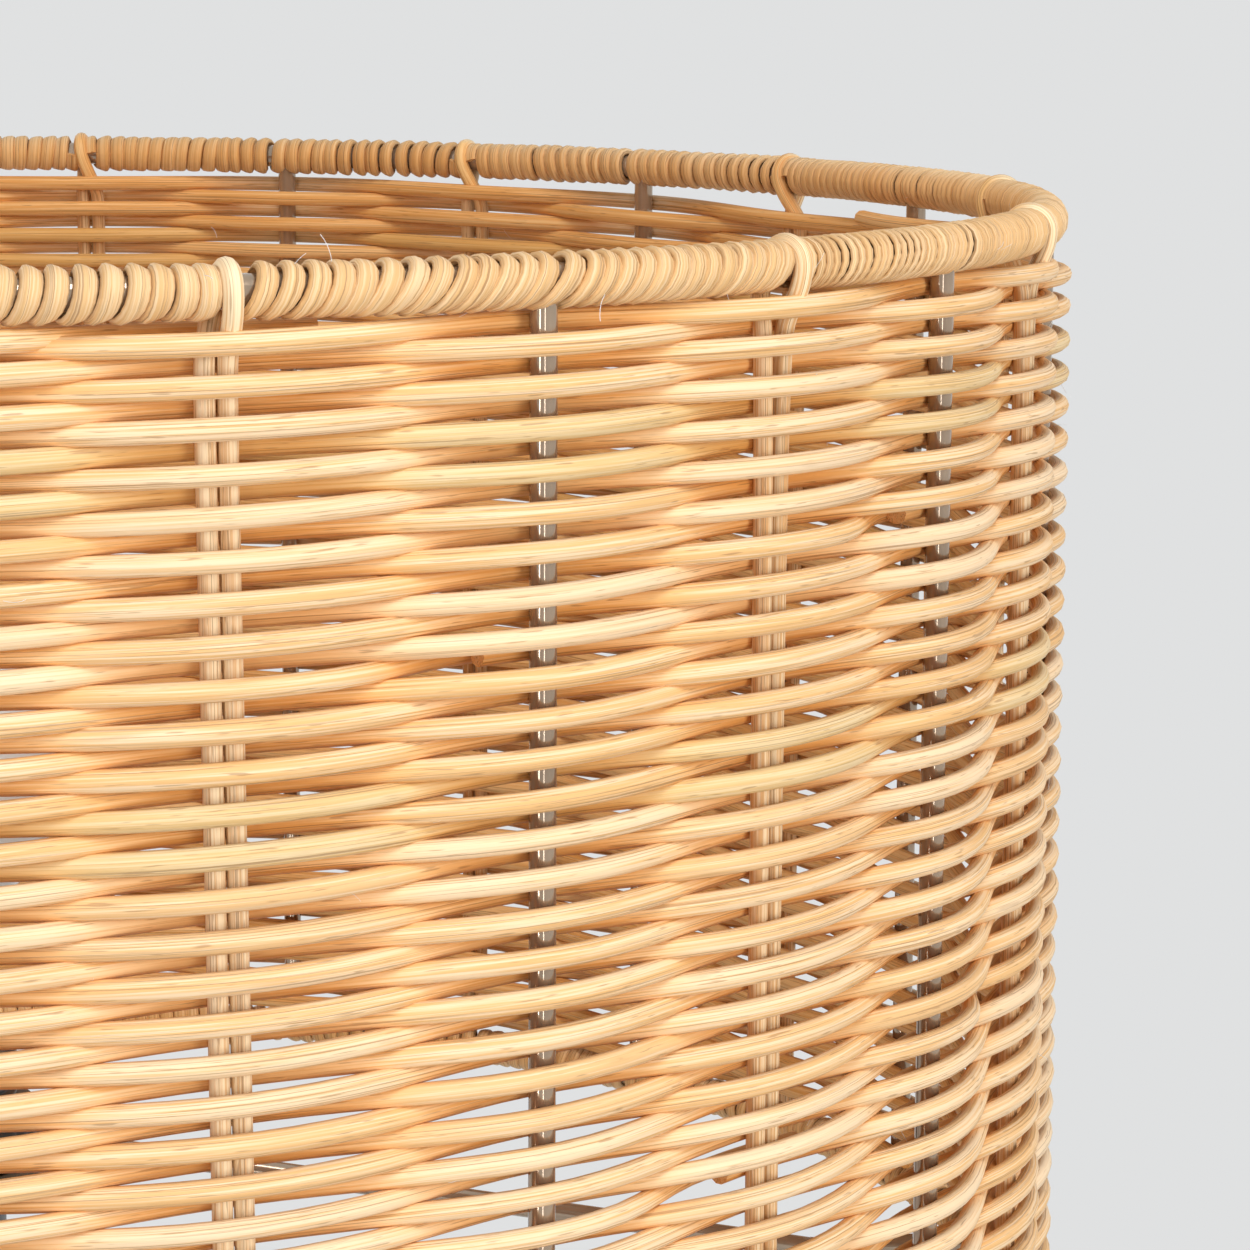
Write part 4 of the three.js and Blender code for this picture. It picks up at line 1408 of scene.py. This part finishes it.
class LAMP_OT_stand(bpy.types.Operator):
    """Make the pole, its joints and cap, and the base"""

    bl_idname = "rattan_lamp.stand"
    bl_label = "Pole and Base"

    def execute(self, context):
        coating = stand_material()
        for name in numbered("pole_section", 3):
            self.tube(name, coating)
        for name in numbered("pole_joint", 2):
            self.joint(name, coating)
        self.cap(coating)
        self.disc(coating)
        self.foot(coating)
        zinc = plate("zinc_plate", (0.55, 0.56, 0.57), 0.38, 0.8)
        painted(frame["nodes"]["base_nut"], zinc)
        dark_felt = finish("pressed_felt", felt, (0.05, 0.048, 0.045))
        painted(frame["nodes"]["base_pad"], dark_felt)
        self.gland()
        return {"FINISHED"}

    @staticmethod
    def tube(name, coating):
        low, high = heights(name)
        profile = [(TUBE_BORE, low, 0), (TUBE, low, 0.5), (TUBE, high, 0.5),
                   (TUBE_BORE, high, 0.5), (TUBE_BORE, low, 0)]
        piece = name.replace("section", "tube")
        turned(piece, profile, 56, coating, "stand_steel", name)

    @staticmethod
    def joint(name, coating):
        foot, _ = heights(name)
        low = foot + SPIGOT_REACH
        profile = [(CORD_BORE, foot, 0), (SPIGOT, foot, 0.4), (SPIGOT, low, 0),
                   (11.5, low, 0.3), (13, low + 1.5, 0.6), (13, low + 4.2, 0.2),
                   (12.6, low + 4.6, 0.2), (12.6, low + 5.4, 0.2), (13, low + 5.8, 0.2),
                   (13, low + 8.5, 0.6), (11.5, low + 10, 0.3), (SPIGOT, low + 10, 0),
                   (SPIGOT, low + 34, 0.4), (CORD_BORE, low + 34, 0.4), (CORD_BORE, foot, 0)]
        piece = name.replace("joint", "collar")
        turned(piece, profile, 56, coating, "stand_steel", name)

    @staticmethod
    def cap(coating):
        foot, _ = heights("pole_cap")
        low = foot + SPIGOT_REACH
        threads, pitch = 9, 1.2
        thread = []
        for k in range(threads):
            thread += [(5, low + 7.6 + pitch * k, 0.1), (4.6, low + 8.2 + pitch * k, 0.1)]
        profile = [(CORD_BORE, foot, 0), (SPIGOT, foot, 0.4), (SPIGOT, low, 0), (TUBE, low, 0.3),
                   (12.2, low + 1.2, 0.8), (15, low + 3.5, 1.2), (15, low + 7, 0.6),
                   (5, low + 7, 0.2), *thread, (4.8, low + 19, 0.2),
                   (CORD_BORE, low + 19, 0.2), (CORD_BORE, foot, 0)]
        turned("pole_finial", profile, 56, coating, "stand_steel", "pole_cap")

    @staticmethod
    def disc(coating):
        low, top = heights("base_disc")
        edge = low + 11
        profile = [(6.3, low + 8, 0), (30, low + 8, 0.6), (30, low, 0.8), (140, low, 1.6),
                   (140, edge - 1.2, 3.2), (134, edge + 0.35, 3.0), (36, top, 9.0),
                   (6.3, top, 0.5), (6.3, low + 8, 0)]
        turned("base_plate", profile, 160, coating, "stand_steel", "base_disc")

    @staticmethod
    def foot(coating):
        low, _ = heights("base_foot")
        flange = heights("base_disc")[1] + 0.3
        profile = [(CORD_BORE, low, 0), (6, low, 0.5), (6, flange, 0), (32, flange, 0.4),
                   (32, flange + 2.4, 1.4), (29, flange + 4.4, 2.0), (13.4, flange + 5, 0.8),
                   (11.2, flange + 5, 0.2), (SPIGOT, flange + 5, 0), (SPIGOT, flange + 45, 0.4),
                   (CORD_BORE, flange + 45, 0.4), (CORD_BORE, low, 0)]
        turned("base_flange", profile, 96, coating, "stand_steel", "base_foot")

    @staticmethod
    def gland():
        profile = [(2.6, 128.3, 0), (3.5, 128.3, 0.3), (3.5, 140.2, 0), (5, 140.2, 0.2),
                   (4.8, 141.6, 0.6), (3.4, 142.2, 0.5), (2.6, 142.2, 0.3), (2.6, 128.3, 0)]
        bushing = laid("base_bushing", profile, 40, middle("cord_gland").z, -1)
        dressed(painted(bushing, moulding_material()), "lamp", "moulding", "cord_gland")


class LAMP_OT_stage(bpy.types.Operator):
    """Set the floor, the lights and the camera"""

    bl_idname = "rattan_lamp.stage"
    bl_label = "Stage"

    # Name, place and size of each lamp, the setting with its watts, and if glossy pieces show it
    lights = (
        ("key_light", (-0.80, -1.24, 1.42), (0.15, 1.3), "key", True),
        ("fill_light", (0.13, -1.56, 1.42), (0.09, 1.3), "fill", True),
        ("side_light", (1.35, -1.20, 1.46), (0.8, 1.2), "side", False),
        ("top_light", (0.2, -0.9, 2.7), (0.8, 0.8), "top", True),
        ("back_light", (-0.7, 2.0, 1.9), (1.0, 1.0), "back", False),
    )
    # What the lamps point at, and the colour of the light from all round
    aim = (0, 0, 1.38)
    daylight = (0.96, 0.98, 1.0)
    # Radius of the floor, and where it starts and ends to turn into the backdrop
    floor_radius, fade_start, fade_end = 60.0, 0.5, 2.6
    # The camera's turns in radians, how far it is from the lamp's axis and above the top ring in
    # ring radii, and its lens and sensor in millimetres
    yaw, pitch, roll = 1.39293, -0.15965, 0.00568
    distance, rise = 3.63021, 0.2102
    focal_length, sensor_width = 118.18, 36

    def execute(self, context):
        stage = context.scene.lamp_stage
        context.scene.view_settings.view_transform = "Standard"
        self.floor(stage)
        self.world(context.scene, stage)
        for name, place, size, setting, glossy in self.lights:
            self.lamp(name, place, size, getattr(stage, setting)).visible_glossy = glossy
        self.camera(context.scene)
        return {"FINISHED"}

    @staticmethod
    def seen(graph):
        """1 for rays that show the backdrop and 0 for those that carry its light."""
        rays = graph.node("ShaderNodeLightPath")
        seen = rays["Is Camera Ray"].most(rays["Is Glossy Ray"])
        return seen.most(rays["Is Transmission Ray"])

    def floor(self, stage):
        work = bmesh.new()
        bmesh.ops.create_circle(work, cap_ends=True, segments=96, radius=self.floor_radius)
        floor = finished("floor", work)
        material = bpy.data.materials.new("pale_floor")
        material.use_nodes = True
        graph = Graph(material.node_tree)
        graph.tree.nodes.clear()
        away = graph.off_axis(graph.node("ShaderNodeTexCoord")["Object"])
        shade = graph.node("ShaderNodeBsdfDiffuse", None, {"Color": rgba(stage.floor)})[0]
        glow = graph.node("ShaderNodeEmission", None, {"Color": rgba(stage.backdrop)})[0]
        share = self.seen(graph) * away.ramp(self.fade_start, self.fade_end)
        mixed = graph.node("ShaderNodeMixShader", None, {0: share, 1: shade, 2: glow})[0]
        graph.node("ShaderNodeOutputMaterial", None, {0: mixed})
        floor.data.materials.append(material)

    def world(self, scene, stage):
        world = bpy.data.worlds.new("studio")
        world.use_nodes = True
        scene.world = world
        graph = Graph(world.node_tree)
        graph.tree.nodes.clear()
        sky = {"Color": rgba(self.daylight), "Strength": stage.sky}
        light = graph.node("ShaderNodeBackground", None, sky)[0]
        wall = {"Color": rgba(stage.backdrop), "Strength": 1.0}
        shown = graph.node("ShaderNodeBackground", None, wall)[0]
        inputs = {0: self.seen(graph), 1: light, 2: shown}
        mixed = graph.node("ShaderNodeMixShader", None, inputs)[0]
        graph.node("ShaderNodeOutputWorld", None, {0: mixed})

    def lamp(self, name, place, size, watts):
        data = bpy.data.lights.new(name, "AREA")
        data.energy = watts
        data.shape = "RECTANGLE"
        data.size, data.size_y = size
        light = linked(name, data)
        light.location = place
        light.visible_camera = False
        light.rotation_mode = "QUATERNION"
        towards = Vector(self.aim) - Vector(place)
        light.rotation_quaternion = towards.to_track_quat("-Z", "Y")
        return light

    def camera(self, scene):
        level = math.cos(self.pitch)
        ahead = Vector((
            math.cos(self.yaw) * level, math.sin(self.yaw) * level, math.sin(self.pitch)
        ))
        right = Vector((math.sin(self.yaw), -math.cos(self.yaw), 0))
        up = right.cross(ahead)
        side = right * math.cos(self.roll) + up * math.sin(self.roll)
        top = up * math.cos(self.roll) - right * math.sin(self.roll)
        turn = Matrix((side, top, -ahead)).transposed().to_4x4()
        place = Vector((0, -self.distance, TOP_RING_Z / RING_RADIUS + self.rise)) * RING_RADIUS
        data = bpy.data.cameras.new("camera")
        data.lens = self.focal_length
        data.sensor_width = self.sensor_width
        data.clip_start = 0.01
        camera = linked("camera", data)
        camera.matrix_world = Matrix.Translation(place) @ turn
        scene.camera = camera


class LAMP_PT_panel(bpy.types.Panel):
    bl_idname = "LAMP_PT_panel"
    bl_label = "Rattan Floor Lamp"
    bl_space_type = "VIEW_3D"
    bl_region_type = "UI"
    bl_category = "Lamp"

    def draw(self, context):
        for name, group in SETTINGS:
            box = self.layout.box()
            for key in group.__annotations__:
                box.prop(getattr(context.scene, name), key)
        for operator in OPERATORS:
            self.layout.operator(operator.bl_idname)


SETTINGS = (
    ("lamp_weave", WeaveSettings),
    ("lamp_rim", RimSettings),
    ("lamp_colours", ColourSettings),
    ("lamp_stage", StageSettings),
)
OPERATORS = (
    LAMP_OT_steel,
    LAMP_OT_stakes,
    LAMP_OT_strands,
    LAMP_OT_rims,
    LAMP_OT_fibres,
    LAMP_OT_fitter,
    LAMP_OT_lampholder,
    LAMP_OT_stand,
    LAMP_OT_stage,
)


def register():
    for name, group in SETTINGS:
        bpy.utils.register_class(group)
        setattr(bpy.types.Scene, name, PointerProperty(type=group))
    for operator in OPERATORS:
        bpy.utils.register_class(operator)
    bpy.utils.register_class(LAMP_PT_panel)


def unregister():
    bpy.utils.unregister_class(LAMP_PT_panel)
    for operator in reversed(OPERATORS):
        bpy.utils.unregister_class(operator)
    for name, group in reversed(SETTINGS):
        delattr(bpy.types.Scene, name)
        bpy.utils.unregister_class(group)


def main():
    register()
    for operator in OPERATORS:
        action = operator.bl_idname.split(".")[1]
        getattr(bpy.ops.rattan_lamp, action)()


if __name__ == "__main__":
    main()
